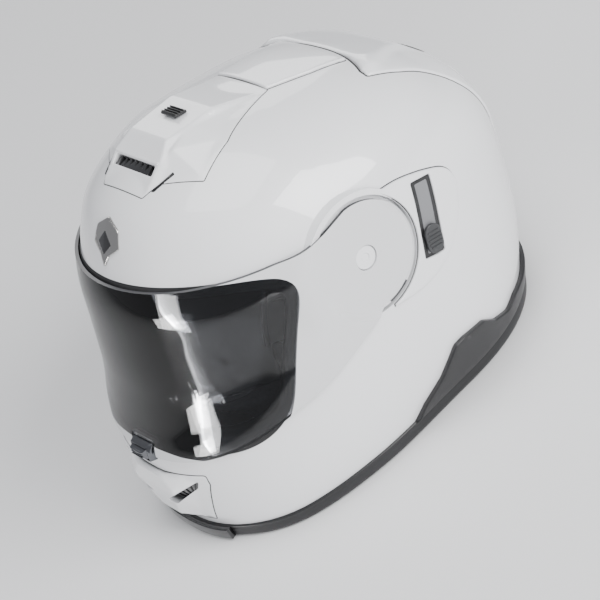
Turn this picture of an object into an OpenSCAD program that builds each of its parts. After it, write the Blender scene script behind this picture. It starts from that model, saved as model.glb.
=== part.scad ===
// Full-face motorcycle helmet. X is sideways with the rider's left at +X, the face looks along -Y.
// Every outline below is given in a side view as [forward, up], measured from the visor pivot.
// The head frame, where the shell is drawn, leans forward over the standing frame, whose floor is level.

/* [Shell] */
// Width of the painted shell
shell_width = 244; // [205:1:290]
// Length of the painted shell
shell_length = 314; // [262:1:377]
// Height of the painted shell from its rim to the crown
shell_height = 262; // [219:1:314]
// Thickness of the painted shell
shell_wall = 4; // [3:0.5:6]
// Height of the rubber edge trim under the rim
trim_height = 10; // [8:0.5:14]
// How far the rubber edge trim stands out of the shell
trim_proud = 1.8; // [1.2:0.1:2.5]

/* [Eyeport] */
// Upper edge of the eyeport, in degrees above the visor pivot
eyeport_top = 8; // [4:0.5:9]
// Lower edge of the eyeport, in degrees below the visor pivot
eyeport_bottom = 35; // [30:0.5:36]
// Half width of the eyeport, in degrees to each side
eyeport_side = 60; // [54:0.5:62]
// Width of the eyeport gasket, in degrees
gasket_width = 2.2; // [1.6:0.1:3]
// How far the gasket lip stands out of the shell
gasket_proud = 0.5; // [0.3:0.1:0.6]

/* [Visor] */
// Thickness of the visor
visor_wall = 2.4; // [1.8:0.1:3]
// Gap between the visor and the shell
visor_gap = 1.6; // [1.4:0.1:2.2]
// Radius of the round ends that turn on the pivots
hub_radius = 38; // [34:0.5:39]
// Thickness of the base plate in each shell recess
base_plate_wall = 2; // [1.6:0.1:2.5]
// Diameter of the pivot boss on the base plate
pivot_diameter = 16; // [12:0.5:20]
// Travel of the visor lock button
latch_travel = 3; // [2:0.5:3.5]

/* [Sun visor] */
// Thickness of the sun visor lens
sun_wall = 2; // [1.6:0.1:2.4]
// Diameter of the sun visor pivot pins
sun_pin_diameter = 6; // [5:0.5:8]
// Travel of the sun visor slider
slider_travel = 29; // [24:1:32]

/* [Padding] */
// Thickness of the impact foam
foam_wall = 29; // [24:1:32]
// Thickness of the comfort pads
pad_wall = 9; // [6:1:11]

/* [Strap] */
// Width of the chin strap
strap_width = 24; // [20:1:27]
// Thickness of the chin strap
strap_wall = 2.5; // [2:0.1:3]

/* [Hidden] */

$fn = 48;
slim = 0.05;                       // seating gap between two fixed pieces
fit = 0.4;                         // running gap between two pieces that move
half_width = shell_width / 2;
ky = shell_length / 314;           // stretch of every outline along the length
kz = shell_height / 262;           // stretch of every outline along the height
lean = 14;                         // turn of the head frame over the standing frame
rim = -134.4 * kz;                 // level of the shell's rim in the standing frame
floor_level = rim - trim_height;   // the surface that the helmet stands on
// The surface grid: lines around the pivot axis, and rings measured from +X
fine_grid = [for (a = [0:7.2:359]) a];
fine_rings = [for (a = [18:9:162]) a];
coarse_grid = [for (a = [0:9:359]) a];
coarse_rings = [for (a = [18:12:162]) a];
near_rings = [17.6, 18.5, 22, 27, 34, 42, 50, 58, 66, 74, 82];
visor_grid = [for (a = [2:7.5:360]) a];   // between the corners of the round ends
visor_rings = concat(near_rings, [90], [for (i = [10:-1:0]) 180 - near_rings[i]]);

// The side outline of the shell
outline_points = [
    [36, -205], [98, -198], [121, -172], [131, -148], [136.5, -128], [136, -108], [131, -84],
    [128, -60], [126.5, -28], [124.5, 4], [117, 31], [102, 59], [69, 82], [35, 94], [0, 96],
    [-35, 95], [-77, 91], [-128, 73], [-169, 30], [-176, -31], [-165, -96], [-133, -158],
    [-50, -184],
];
// How square the cross sections are, by angle around the pivot
squareness = [
    [-85, 2.9], [-60, 2.45], [-30, 2.15], [0, 2.05], [45, 2.05], [90, 2.25], [135, 2.5],
    [180, 2.5], [215, 2.8], [245, 3.1],
];
function turn(a) = a < -90 ? a + 360 : a;
outline_knots = [
    for (p = outline_points) [turn(atan2(p[1] * kz, p[0] * ky)), norm([p[0] * ky, p[1] * kz])]
];

// A smooth closed curve through knots of [angle, value]
function knot(t, i) =
    let (n = len(t), k = floor(i / n)) [t[i - k * n][0] + 360 * k, t[i - k * n][1]];
function slope(t, i) =
    let (a = knot(t, i - 1), b = knot(t, i + 1)) (b[1] - a[1]) / (b[0] - a[0]);
function lap(t, a) = a < t[0][0] ? lap(t, a + 360) : a >= t[0][0] + 360 ? lap(t, a - 360) : a;
function span(t, a) = len([for (k = t) if (k[0] <= a) 1]) - 1;
function smooth(t, angle) =
    let (a = lap(t, angle), i = span(t, a), p = knot(t, i), q = knot(t, i + 1),
         h = q[0] - p[0], s = (a - p[0]) / h)
    p[1] * (2 * s * s * s - 3 * s * s + 1) + q[1] * (3 * s * s - 2 * s * s * s)
    + h * slope(t, i) * (s * s * s - 2 * s * s + s) + h * slope(t, i + 1) * (s * s * s - s * s);
function reach(angle) = smooth(outline_knots, angle);
function power(angle) = smooth(squareness, angle);

// A point of the shell's surface, inset by a distance, in a direction: off is measured from +X
function surface_point(angle, off, inset, r, n) =
    let (c = cos(off), s = sin(off),
         d = pow(pow(abs(c) / (half_width - inset), n) + pow(s / (r - inset), n), -1 / n))
    [d * c, -d * s * cos(angle), d * s * sin(angle)];
// Sideways place of the surface over a side view point
function surface_x(forward, up, inset) =
    let (a = atan2(up, forward), n = power(a), w = half_width - inset,
         s = norm([forward, up]) / (reach(a) - inset))
    w * pow(max(0, 1 - pow(s, n)), 1 / n);
// Distance from the middle line where a level line of the surface lies, by halving
function inside(x, y, z, inset) =
    let (a = atan2(z, -y), n = power(a))
    pow(abs(x) / (half_width - inset), n) + pow(norm([y, z]) / (reach(a) - inset), n) < 1;
// A standing frame point in the head frame
function leaned(x, y, z) =
    [x, y * cos(lean) - z * sin(lean), y * sin(lean) + z * cos(lean)];
function level_reach(dx, dy, z, inset, low, high, n) =
    n == 0 ? (low + high) / 2
    : let (m = (low + high) / 2, p = leaned(dx * m, rim_middle + dy * m, z))
      inside(p[0], p[1], p[2], inset) ? level_reach(dx, dy, z, inset, m, high, n - 1)
      : level_reach(dx, dy, z, inset, low, m, n - 1);
rim_middle = -11 * ky;
function level_outline(z, inset) = [
    for (a = [0:5:355])
        let (d = level_reach(cos(a), sin(a), z, inset, 0, 300 * ky, 16))
        [d * cos(a), rim_middle + d * sin(a)]
];

// A closed surface from rings of points around the X axis and its two end points
module closed_rings(rings, start, end) {
    m = len(rings[0]);
    n = len(rings);
    points = concat([start], [for (r = rings) for (p = r) p], [end]);
    last = len(points) - 1;
    polyhedron(
        points,
        concat(
            [for (j = [0:m - 1]) [0, 1 + j, 1 + (j + 1) % m]],
            [for (i = [0:n - 2]) for (j = [0:m - 1])
                [1 + i * m + j, 1 + (i + 1) * m + j, 1 + (i + 1) * m + (j + 1) % m]],
            [for (i = [0:n - 2]) for (j = [0:m - 1])
                [1 + i * m + j, 1 + (i + 1) * m + (j + 1) % m, 1 + i * m + (j + 1) % m]],
            [for (j = [0:m - 1]) [1 + (n - 1) * m + j, last, 1 + (n - 1) * m + (j + 1) % m]]));
}
// The whole closed body whose surface lies inset inside the shell's outer surface. Deep ones,
// which only foam and pads follow, have a coarser grid.
module skin(inset) {
    fine = inset < shell_wall + 0.2;
    grid = [for (a = fine ? fine_grid : coarse_grid) [a, reach(a), power(a)]];
    closed_rings(
        [for (off = fine ? fine_rings : coarse_rings)
            [for (g = grid) surface_point(g[0], off, inset, g[1], g[2])]],
        [half_width - inset, 0, 0], [inset - half_width, 0, 0]);
}
module layer(outer, inner) {
    difference() {
        skin(-outer);
        skin(-inner);
    }
}
// Turns a group of curved pieces into one mesh
module moulded() {
    resize([0, 0, 0]) children();
}
// Prisms through outlines seen from the side, from above and from the front
module side_prism(points, x0, x1) {
    translate([x0, 0, 0])
        rotate([90, 0, 90])
            linear_extrude(x1 - x0)
                polygon([for (p = points) [-p[0] * ky, p[1] * kz]]);
}
module top_prism(points, z0, z1) {
    translate([0, 0, z0])
        linear_extrude(z1 - z0)
            polygon([for (p = points) [p[0], -p[1] * ky]]);
}
module hub_cylinder(radius, x0, x1) {
    for (m = [0, 1])
        mirror([m, 0, 0])
            translate([x0, 0, 0])
                rotate([0, 90, 0])
                    cylinder(r = radius, h = x1 - x0);
}
// Puts a solid drawn in the standing frame into the head frame
module upright() {
    rotate([lean, 0, 0]) children();
}
module both_sides() {
    children();
    mirror([1, 0, 0]) children();
}
module corner_hull(points) {
    hull()
        for (p = points)
            translate([p[0], -p[1] * ky, p[2] * kz])
                cube(0.2, center = true);
}
module above(z) {
    translate([-300, -400, z]) cube([600, 800, 600]);
}

// The eyeport: a cone of view from the pivot line, rounded like a squared oval
eyeport_middle = (eyeport_top - eyeport_bottom) / 2;
eyeport_half = (eyeport_top + eyeport_bottom) / 2;
function squared(v) = sign(v) * pow(abs(v), 1 / 3);
function eyeport_direction(a, grow) =
    let (h = (eyeport_half + grow) * squared(sin(a)),
         w = (eyeport_side + grow + 0.38 * h) * squared(cos(a)),
         e = eyeport_middle + h)
    [sin(w) * cos(e), -cos(w) * cos(e), sin(e)];
module eyeport_cone(grow) {
    far = 420;
    m = 48;
    loop = [for (i = [0:m - 1]) far * eyeport_direction(i * 360 / m, grow)];
    polyhedron(
        concat([[0, 0, 0], [0, -far, 0]], loop),
        concat(
            [for (i = [0:m - 1]) [0, 2 + i, 2 + (i + 1) % m]],
            [for (i = [0:m - 1]) [1, 2 + (i + 1) % m, 2 + i]]));
}

// ---- Visor hub stack, outwards along X from the floor of the shell's recess ----
hub_floor = half_width - 7;
hub_gap = 2.6;
hinge_wall = 1.3;
hinge_face = hub_floor + base_plate_wall + fit;
hub_face = hinge_face + hinge_wall;
recess_radius = hub_radius + hub_gap;
boss_radius = recess_radius + 4;

module outer_shell() {
    color("white")
        moulded()
            difference() {
                union() {
                    layer(0, -shell_wall);
                    intersection() {
                        skin(0);
                        hub_cylinder(boss_radius, hub_floor - shell_wall, half_width);
                    }
                }
                hub_cylinder(recess_radius, hub_floor, half_width + 20);
                eyeport_cone(0);
                upright() translate([-300, -400, rim - 300]) cube([600, 800, 300]);
                brow_intake(1);
                both_sides() chin_opening(0);
                exhaust_opening(0);
            }
}
// Air way through the shell behind the brow vent
module brow_intake(grow) {
    translate([-24 - grow, -70 * ky, 60 * kz])
        cube([48 + 2 * grow, 14, 60]);
}
module chin_opening(grow) {
    rotate([90, 0, 0])
        linear_extrude(200 * ky)
            offset(delta = grow)
                polygon([[8, -145 * kz], [47, -121.5 * kz], [43, -128.5 * kz], [20, -145 * kz]]);
}
module exhaust_opening(grow) {
    translate([-26 - grow, 100 * ky, 52 * kz - grow])
        cube([52 + 2 * grow, 90 * ky, 9 + 2 * grow]);
}
module eyeport_gasket() {
    color("#111111")
        moulded()
            union() {
                difference() {
                    intersection() {
                        layer(gasket_proud, slim);
                        eyeport_cone(1.2);
                    }
                    eyeport_cone(-gasket_width);
                }
                difference() {
                    intersection() {
                        layer(gasket_proud, -shell_wall - 3);
                        eyeport_cone(-0.04);
                    }
                    eyeport_cone(-gasket_width);
                }
            }
}
module lower_edge_trim() {
    color("#161616")
        difference() {
            translate([0, 0, floor_level])
                linear_extrude(trim_height - slim)
                    difference() {
                        polygon(level_outline(rim, -trim_proud));
                        polygon(level_outline(rim, shell_wall + 3));
                    }
        }
}
diffuser_points = [
    [-8, -150], [-17, -126], [-33, -114], [-41, -104], [-48, -95], [-56, -93], [-76, -92],
    [-88, -99], [-104, -102], [-116, -97], [-134, -94], [-200, -78], [-200, -150],
];
module rear_diffuser() {
    color("#1a1a1a")
        moulded()
            intersection() {
                layer(4.5, slim);
                side_prism(diffuser_points, -200, 200);
                upright() translate([-300, -400, rim + 0.2]) cube([600, 800, 300]);
            }
}
cover_points = [
    [-10, 33], [-30, 36], [-66, 29], [-86, 19], [-84, 4], [-78, -12], [-61, -31], [-36, -41],
    [-6, -41], [-6, 0],
];
// The sun visor slider runs along this side view line, from rest to its top
slider_low = [-52, -13];
slider_direction = [-0.12, 0.993];
track_radius = 9;
module slider_slot(radius, x0, x1) {
    hull()
        for (t = [-5, slider_travel + 5])
            translate([x0, -slider_low[0] * ky - slider_direction[0] * t,
                       slider_low[1] * kz + slider_direction[1] * t])
                rotate([0, 90, 0])
                    cylinder(r = radius, h = x1 - x0);
}
module side_cover() {
    difference() {
        intersection() {
            layer(1.8, slim);
            side_prism(cover_points, 60, 160);
        }
        hub_cylinder(recess_radius + 0.3, 60, 160);
    }
}
module left_side_cover() {
    color("white")
        moulded()
            difference() {
                side_cover();
                slider_slot(track_radius, 60, 160);
            }
}
module right_side_cover() {
    color("white")
        moulded()
            mirror([1, 0, 0]) side_cover();
}
module slider_track() {
    color("#6b6e72")
        moulded()
            intersection() {
                layer(0.9, slim);
                slider_slot(track_radius - 0.3, 60, 160);
            }
}
knob_face = max([for (t = [-4, 0, 10, 20, slider_travel + 4])
    surface_x(slider_low[0] * ky + slider_direction[0] * t,
              slider_low[1] * kz + slider_direction[1] * t, -0.9)]) + fit + 0.2;
module slider_knob() {
    color("#8d9094")
        translate([knob_face, -slider_low[0] * ky, slider_low[1] * kz])
            rotate([0, 90, 0])
                difference() {
                    linear_extrude(3.2)
                        hull()
                            for (s = [-1, 1])
                                translate([s * 4, 0]) circle(r = 6.5);
                    for (s = [-1, 0, 1])
                        translate([s * 4 - 0.6, -5, 2.4]) cube([1.2, 10, 2]);
                }
}
module brow_vent_housing() {
    color("white")
        moulded()
            difference() {
                union() {
                    corner_hull([
                        [-27, 87, 70], [27, 87, 70], [-30, 72, 84], [30, 72, 84], [-24, 58, 95],
                        [24, 58, 95], [-26, 20, 100], [26, 20, 100], [-30, -18, 94], [30, -18, 94],
                        [-34, 20, 84], [34, 20, 84], [-26, 60, 70], [26, 60, 70]]);
                    both_sides()
                        corner_hull([[20, 80, 76], [56, 58, 73], [48, 30, 86], [30, 0, 94],
                                     [22, 40, 96], [28, 60, 91], [30, 40, 75]]);
                }
                skin(-slim);
                translate([-25, -92 * ky, 78 * kz]) cube([50, 33, 7]);
                vent_slider_box(fit, vent_slider_travel + fit);
            }
}
vent_slider_travel = 5;
vent_slider_forward = 36;
module vent_slider_box(grow, extra) {
    translate([-9 - grow, -vent_slider_forward * ky - 5 - grow, 98.2 * kz])
        cube([18 + 2 * grow, 10 + grow + extra, 12]);
}
module brow_vent_slider() {
    color("#2a2a2c")
        translate([-9, -vent_slider_forward * ky - 5, 98.5 * kz])
            difference() {
                cube([18, 10, 3]);
                for (y = [2, 4.6, 7.2])
                    translate([-1, y, 2.3]) cube([20, 0.9, 1]);
            }
}
module crown_strip() {
    color("white")
        moulded()
            intersection() {
                layer(2.6, slim);
                top_prism([[-29, -19], [29, -19], [36, -50], [38, -78], [-38, -78], [-36, -50]],
                          60, 140);
            }
}
module rear_spoiler() {
    color("white")
        moulded()
            difference() {
                intersection() {
                    layer(6, slim);
                    side_prism([[-79, 120], [-79, 76], [-104, 66], [-128, 44], [-146, 12],
                                [-152, -30], [-190, -36], [-190, 120]], -66, 66);
                }
                translate([-27, 100 * ky, 51 * kz]) cube([54, 90 * ky, 11]);
            }
}
module rear_exhaust_grille() {
    color("#1c1c1e")
        moulded()
            intersection() {
                layer(2, slim);
                difference() {
                    translate([-26.5, 100 * ky, 51.5 * kz]) cube([53, 90 * ky, 10]);
                    for (x = [-24:6:18])
                        translate([x, 90 * ky, 53 * kz]) cube([4, 110 * ky, 7]);
                }
            }
}
module chin_vent_cover() {
    color("white")
        moulded()
            difference() {
                corner_hull([
                    [-14, 142, -121], [14, 142, -121], [-55, 125, -117], [55, 125, -117],
                    [-34, 118, -162], [34, 118, -162], [-12, 134, -162], [12, 134, -162],
                    [-26, 141, -136], [26, 141, -136], [0, 90, -124], [0, 90, -162]]);
                skin(-slim);
                both_sides() chin_opening(0);
            }
}
module chin_vent_grilles() {
    color("#141414")
        moulded()
            both_sides()
                intersection() {
                    layer(-0.5, -2.5);
                    chin_opening(-0.1);
                }
}
module chin_under_plate() {
    color("#101010")
        translate([0, 0, floor_level + 1])
            linear_extrude(trim_height - 1)
                intersection() {
                    difference() {
                        polygon(level_outline(rim, -trim_proud - 4));
                        polygon(level_outline(rim, -trim_proud - slim));
                    }
                    polygon([[-46, -60 * ky], [46, -60 * ky], [40, -220 * ky], [-40, -220 * ky]]);
                }
}

// ---- Visor bearings ----
module base_plate() {
    difference() {
        union() {
            translate([hub_floor + slim, 0, 0])
                rotate([0, 90, 0])
                    cylinder(r = recess_radius - 0.6, h = base_plate_wall - slim);
            translate([hub_floor + base_plate_wall - slim, 0, 0])
                rotate([0, 90, 0])
                    cylinder(d = pivot_diameter, h = 3.4);
        }
        for (a = [45, 135, 225, 315])
            rotate([a, 0, 0])
                translate([hub_floor - 1, 0, 29])
                    rotate([0, 90, 0])
                        cylinder(d = 6.4, h = 8);
    }
}
module base_plate_left() {
    color("#e9e9e7") base_plate();
}
module base_plate_right() {
    color("#e9e9e7") mirror([1, 0, 0]) base_plate();
}
module base_plate_screws() {
    color("#4a4b4d")
        both_sides()
            for (a = [45, 135, 225, 315])
                rotate([a, 0, 0])
                    translate([hub_floor + slim, 0, 29])
                        rotate([0, 90, 0])
                            difference() {
                                cylinder(d = 6, h = base_plate_wall - 0.3);
                                translate([0, 0, 0.9]) cylinder(d = 2.6, h = 3);
                            }
}
module visor_hinge() {
    translate([hinge_face, 0, 0])
        rotate([0, 90, 0])
            difference() {
                cylinder(r = 21, h = hinge_wall - slim);
                translate([0, 0, -1]) cylinder(d = pivot_diameter + 2 * fit, h = 6);
            }
}
module visor_hinge_left() {
    color("#3a3b3d") visor_hinge();
}
module visor_hinge_right() {
    color("#3a3b3d") mirror([1, 0, 0]) visor_hinge();
}
visor_front = [[24, -50.5], [52, -66], [82, -79], [118, -98], [165, -121], [165, 15], [93, 19.5],
               [69, 22], [44, 25], [26, 30.5], [10, 36.5]];
module visor_area(grow) {
    linear_extrude(600, center = true)
        offset(delta = grow)
            union() {
                circle(r = hub_radius);
                polygon(concat([[0, 0], [0, -37.9]],
                               [for (p = visor_front) [p[0] * ky, p[1] * kz]]));
            }
}
// The visor's surface follows the shell and runs into flat round ends
ramp_length = 26;
function ramp(v) = let (s = max(0, min(1, v))) s * s * (3 - 2 * s);
function visor_point(g, off, lift) =
    let (p = surface_point(g[0], off, -visor_gap - lift, g[1], g[2]),
         from_axis = norm([p[1], p[2]]),
         s = ramp((from_axis - hub_radius) / ramp_length),
         flat = hub_face + lift,
         x = from_axis < hub_radius + 0.8 ? flat : max(abs(p[0]), flat * (1 - s) + abs(p[0]) * s))
    [sign(p[0]) * x, p[1], p[2]];
module visor_skin(lift) {
    grid = [for (a = visor_grid) [a, reach(a), power(a)]];
    closed_rings(
        [for (off = visor_rings) [for (g = grid) visor_point(g, off, lift)]],
        [hub_face + lift, 0, 0], [-hub_face - lift, 0, 0]);
}
module visor_shield() {
    color("#d9dde0", 0.45)
        moulded()
            difference() {
                intersection() {
                    difference() {
                        visor_skin(visor_wall);
                        visor_skin(0);
                    }
                    rotate([90, 0, -90]) visor_area(0);
                }
                translate([-latch_width / 2 - 2.5, -170 * ky, latch_low * kz - 20])
                    cube([latch_width + 5, 90 * ky, latch_height + 22.5]);
                pin_cylinders(5.2);
                hub_cylinder(pivot_diameter / 2 + fit, hub_floor, half_width + 20);
            }
}
module pin_cylinders(diameter) {
    both_sides()
        translate([0, -56 * ky, -34 * kz])
            rotate([0, 90, -28])
                translate([0, 0, half_width - 32]) cylinder(d = diameter, h = 60);
}
module pinlock_pins() {
    color("#b9bcc0")
        moulded()
            intersection() {
                difference() {
                    visor_skin(visor_wall + 0.5);
                    visor_skin(-0.4);
                }
                pin_cylinders(5);
            }
}
module pinlock_lens() {
    color("#c9ced2", 0.4)
        moulded()
            difference() {
                intersection() {
                    difference() {
                        visor_skin(-slim);
                        visor_skin(-0.8);
                    }
                    eyeport_cone(-9);
                }
                pin_cylinders(5.4);
            }
}

// ---- Visor lock at the chin ----
latch_width = 24;
latch_height = 14;
latch_low = -113;
latch_back = 139.4;
module latch_housing() {
    color("#3c3d40")
        moulded()
            difference() {
                translate([-latch_width / 2, -(latch_back + 2.6) * ky, latch_low * kz])
                    cube([latch_width, 20, latch_height]);
                skin(-slim);
                eyeport_cone(1.3);
                translate([-latch_width / 2 + 2, -(latch_back + 20) * ky, latch_low * kz + 2])
                    cube([latch_width - 4, 20 * ky, latch_height - 4]);
            }
}
module latch_button() {
    color("#55575b")
        translate([-latch_width / 2 + 2 + fit, -latch_back * ky - latch_travel - fit - 2.2,
                   latch_low * kz + 2 + fit])
            difference() {
                cube([latch_width - 4 - 2 * fit, 2.2, latch_height - 4 - 2 * fit]);
                for (z = [2.2, 4.4, 6.6])
                    translate([-1, -1, z]) cube([40, 1.5, 0.7]);
            }
}

// ---- Impact foam, pads and neck opening ----
foam_outer = shell_wall + 2.3;       // room for the differing facets of the two grids
foam_inner = foam_outer + foam_wall;
pad_inner = foam_inner + slim + pad_wall;
module neck_prism(half) {
    upright()
        translate([0, -5 * ky, -230 * kz])
            scale([1, 1.3 * ky, 1])
                cylinder(r = half, h = 172 * kz);
}
// The sun visor turns on its own axis below the visor pivot
sun_axis = [-4, -35];
sun_reach = 125;
sun_half_width = half_width;
sun_side = half_width - 26;
sun_top = 31;
sun_bottom = -17;
module at_sun_axis() {
    translate([0, -sun_axis[0] * ky, sun_axis[1] * kz]) children();
}
module turned_body(radius, half) {
    at_sun_axis()
        rotate([0, 90, 0])
            rotate_extrude($fn = 72)
                polygon([
                    for (a = [-90:6:90])
                        let (c = cos(a), s = sin(a), n = 2.05,
                             d = pow(pow(abs(s) / half, n) + pow(abs(c) / radius, n), -1 / n))
                        [max(0, d * c), d * s]]);
}
module sun_sector(low, high, x0, x1) {
    at_sun_axis()
        translate([x0, 0, 0])
            rotate([90, 0, 90])
                linear_extrude(x1 - x0)
                    polygon(concat([[0, 0]],
                        [for (i = [0:6])
                            let (a = low + (high - low) * i / 6)
                            [-220 * ky * cos(a), 220 * ky * sin(a)]]));
}
sun_radius = sun_reach * min(ky, kz);
slot_low = sun_side - 2.8;
slot_high = sun_side + 4.6;
module foam_zone(outer, inner) {
    difference() {
        layer(-outer, -inner);
        eyeport_cone(0.6);
    }
}
module eps_liner() {
    color("#1d1d1f")
        moulded()
            difference() {
                foam_zone(foam_outer, foam_inner);
                upright()
                    side_prism([[-27, -260], [-27, -76], [112, -76], [112, -260]], -200, 200);
                side_prism([[62, -260], [62, -102], [200, -102], [200, -260]], -200, 200);
                side_prism([[80, -152], [80, -98], [170, -80], [170, -156]], -200, 200);
                upright() translate([-300, -400, rim + 20 * kz - 450]) cube([600, 800, 450]);
                neck_prism(70);
                hub_cylinder(boss_radius + 0.6, hub_floor - shell_wall - 0.5, half_width);
                difference() {
                    sun_sector(-40, 78, -sun_side - 0.8, sun_side + 0.8);
                    turned_body(sun_radius - sun_wall - 1.2, sun_half_width - sun_wall - 1.2);
                }
                both_sides()
                    intersection() {
                        at_sun_axis()
                            translate([slot_low, 0, 0])
                                rotate([0, 90, 0])
                                    cylinder(r = 96 * ky, h = slot_high - slot_low);
                        union() {
                            sun_sector(-50, 85, slot_low, slot_high);
                            at_sun_axis()
                                translate([slot_low, 0, 0])
                                    rotate([0, 90, 0])
                                        cylinder(r = 14, h = slot_high - slot_low);
                        }
                    }
            }
}
module chin_foam() {
    color("#1d1d1f")
        moulded()
            intersection() {
                foam_zone(foam_outer, foam_outer + 17);
                side_prism([[80, -152], [80, -98], [170, -80], [170, -156]], -200, 200);
            }
}
module cheek_pad() {
    intersection() {
        difference() {
            skin(shell_wall + 11);
            neck_prism(54);
        }
        upright()
            side_prism([[-23, -121], [-23, -78], [84, -78], [96, -94], [98, -121]], 40, 160);
    }
}
module cheek_pad_left() {
    color("#1a1a1c")
        moulded()
            cheek_pad();
}
module cheek_pad_right() {
    color("#1a1a1c")
        moulded()
            mirror([1, 0, 0]) cheek_pad();
}
module cheek_pad_snaps() {
    color("#b9b9bb")
        upright()
            both_sides()
                for (f = [-10, 66])
                    translate([82, -f * ky, -78 * kz + slim])
                        cylinder(d = 9, h = 2 * kz - 2 * slim);
}
module crown_pad() {
    color("#19191b")
        moulded()
            intersection() {
                foam_zone(foam_inner + slim, pad_inner);
                side_prism([[-170, -66], [-170, 110], [72, 110], [96, 26], [40, 0], [-60, -66]],
                           -200, 200);
            }
}
module neck_roll() {
    color("#19191b")
        moulded()
            intersection() {
                difference() {
                    skin(shell_wall + 4);
                    neck_prism(76);
                }
                upright()
                    side_prism([[-220, -133.4], [-220, -115.4], [-29, -115.4], [-29, -133.4]],
                               -200, 200);
            }
}
module chin_curtain() {
    color("#151516")
        moulded()
            intersection() {
                skin(shell_wall + 4);
                upright()
                    side_prism([[108, -132.4], [108, -130.9], [200, -130.9], [200, -132.4]],
                               -52, 52);
            }
}
module breath_deflector() {
    color("#151516")
        moulded()
            intersection() {
                layer(-foam_outer - 17 - slim, -foam_outer - 20);
                rotate([90, 0, 0])
                    linear_extrude(200 * ky)
                        polygon([[-46, -104 * kz], [46, -104 * kz], [40, -82 * kz],
                                 [18, -66 * kz], [0, -62 * kz], [-18, -66 * kz],
                                 [-40, -82 * kz]]);
            }
}

// ---- Sun visor ----
module sun_visor_lens() {
    color("#3b3d42", 0.75)
        moulded()
            union() {
                intersection() {
                    difference() {
                        turned_body(sun_radius, sun_half_width);
                        turned_body(sun_radius - sun_wall, sun_half_width - sun_wall);
                    }
                    sun_sector(sun_bottom, sun_top, -sun_side, sun_side);
                }
                both_sides()
                    difference() {
                        union() {
                            intersection() {
                                turned_body(sun_radius - 0.3, sun_half_width - 0.3);
                                sun_sector(2, 24, sun_side - sun_wall - 0.4, sun_side);
                            }
                            at_sun_axis()
                                translate([sun_side - sun_wall - 0.4, 0, 0])
                                    rotate([0, 90, 0])
                                        cylinder(r = 9, h = sun_wall + 0.4);
                        }
                        at_sun_axis()
                            rotate([0, 90, 0])
                                cylinder(d = sun_pin_diameter + 2 * fit, h = 200);
                    }
            }
}
module sun_visor_pivots() {
    color("#2c2d30")
        both_sides()
            at_sun_axis()
                translate([sun_side + fit, 0, 0])
                    rotate([0, 90, 0])
                        union() {
                            cylinder(r = 11, h = 3.4);
                            translate([0, 0, -fit - sun_wall - 0.4])
                                cylinder(d = sun_pin_diameter, h = sun_wall + 2);
                        }
}

// ---- Chin strap and ratchet buckle ----
// These are drawn in the standing frame
strap_level = -128.4;
strap_forward = 30;
function standing_x(forward, up) =
    surface_x(forward * cos(lean) + up * sin(lean), up * cos(lean) - forward * sin(lean), shell_wall);
strap_x = standing_x(strap_forward * ky, -96 * kz) - 6;
module at_strap() {
    translate([0, -strap_forward * ky, 0]) children();
}
module strap(points) {
    at_strap()
        translate([0, strap_width / 2, 0])
            rotate([90, 0, 0])
                linear_extrude(strap_width)
                    polygon(points);
}
strap_turn_x = standing_x(strap_forward * ky, -124 * kz) - 7;
function strap_points(end) =
    let (w = strap_wall, z = strap_level * kz)
    [[strap_x, -78 * kz], [strap_x, -98 * kz], [strap_turn_x, -119.5 * kz],
     [strap_turn_x - 12, z + w], [end, z + w], [end, z], [strap_turn_x - 10, z],
     [strap_turn_x + w, -120.5 * kz], [strap_x + w, -98 * kz], [strap_x + w, -78 * kz]];
module chin_strap_left() {
    color("#1b1b1d") strap(strap_points(38));
}
module chin_strap_right() {
    color("#1b1b1d")
        mirror([1, 0, 0]) strap(strap_points(20.5));
}
module strap_anchors() {
    color("#8a8c90")
        both_sides()
            translate([strap_x + strap_wall + slim, -strap_forward * ky, -84 * kz])
                rotate([0, 90, 0])
                    cylinder(d = 10, h = 1.2);
}
module strap_pad(x0, x1) {
    translate([x0, -strap_forward * ky, strap_level * kz + strap_wall / 2])
        difference() {
            translate([0, -strap_width / 2 - 2.6, -strap_wall / 2 - 2.4])
                cube([x1 - x0, strap_width + 5.2, strap_wall + 4.8]);
            translate([-1, -strap_width / 2 - slim, -strap_wall / 2 - slim])
                cube([x1 - x0 + 2, strap_width + 2 * slim, strap_wall + 2 * slim]);
        }
}
module strap_pad_left() {
    color("#1d1d1f") strap_pad(45, 66);
}
module strap_pad_right() {
    color("#1d1d1f")
        mirror([1, 0, 0]) strap_pad(30, 66);
}
buckle_z = strap_level * kz - 1.6;
lever_x = -13;
lever_z = buckle_z + 7.3;
module buckle_body() {
    color("#2a2a2c")
        at_strap()
            difference() {
                translate([-20, -strap_width / 2 - 1, buckle_z])
                    cube([40, strap_width + 2, 9.4]);
                translate([-16, -strap_width / 2 + 1.5, buckle_z + 4])
                    cube([40, strap_width - 3, 10]);
                translate([-17.5, -strap_width / 2 + 1.5, buckle_z + 1.5])
                    cube([60, strap_width - 3, strap_wall + 0.4]);
                translate([lever_x, 60, lever_z])
                    rotate([90, 0, 0])
                        cylinder(d = 3.1, h = 120);
            }
}
module buckle_pin() {
    color("#9fa1a5")
        at_strap()
            translate([lever_x, strap_width / 2 + 1, lever_z])
                rotate([90, 0, 0])
                    cylinder(d = 3, h = strap_width + 2);
}
module ratchet_tongue() {
    color("#e0a21c")
        at_strap()
            translate([-16, -strap_width / 2 + 2, strap_level * kz + slim])
                difference() {
                    cube([53.5, strap_width - 4, strap_wall - 2 * slim]);
                    for (i = [0:11])
                        translate([2 + 2.4 * i, -1, strap_wall - 0.9])
                            rotate([0, 20, 0])
                                cube([1.2, strap_width, 2]);
                }
}
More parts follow.
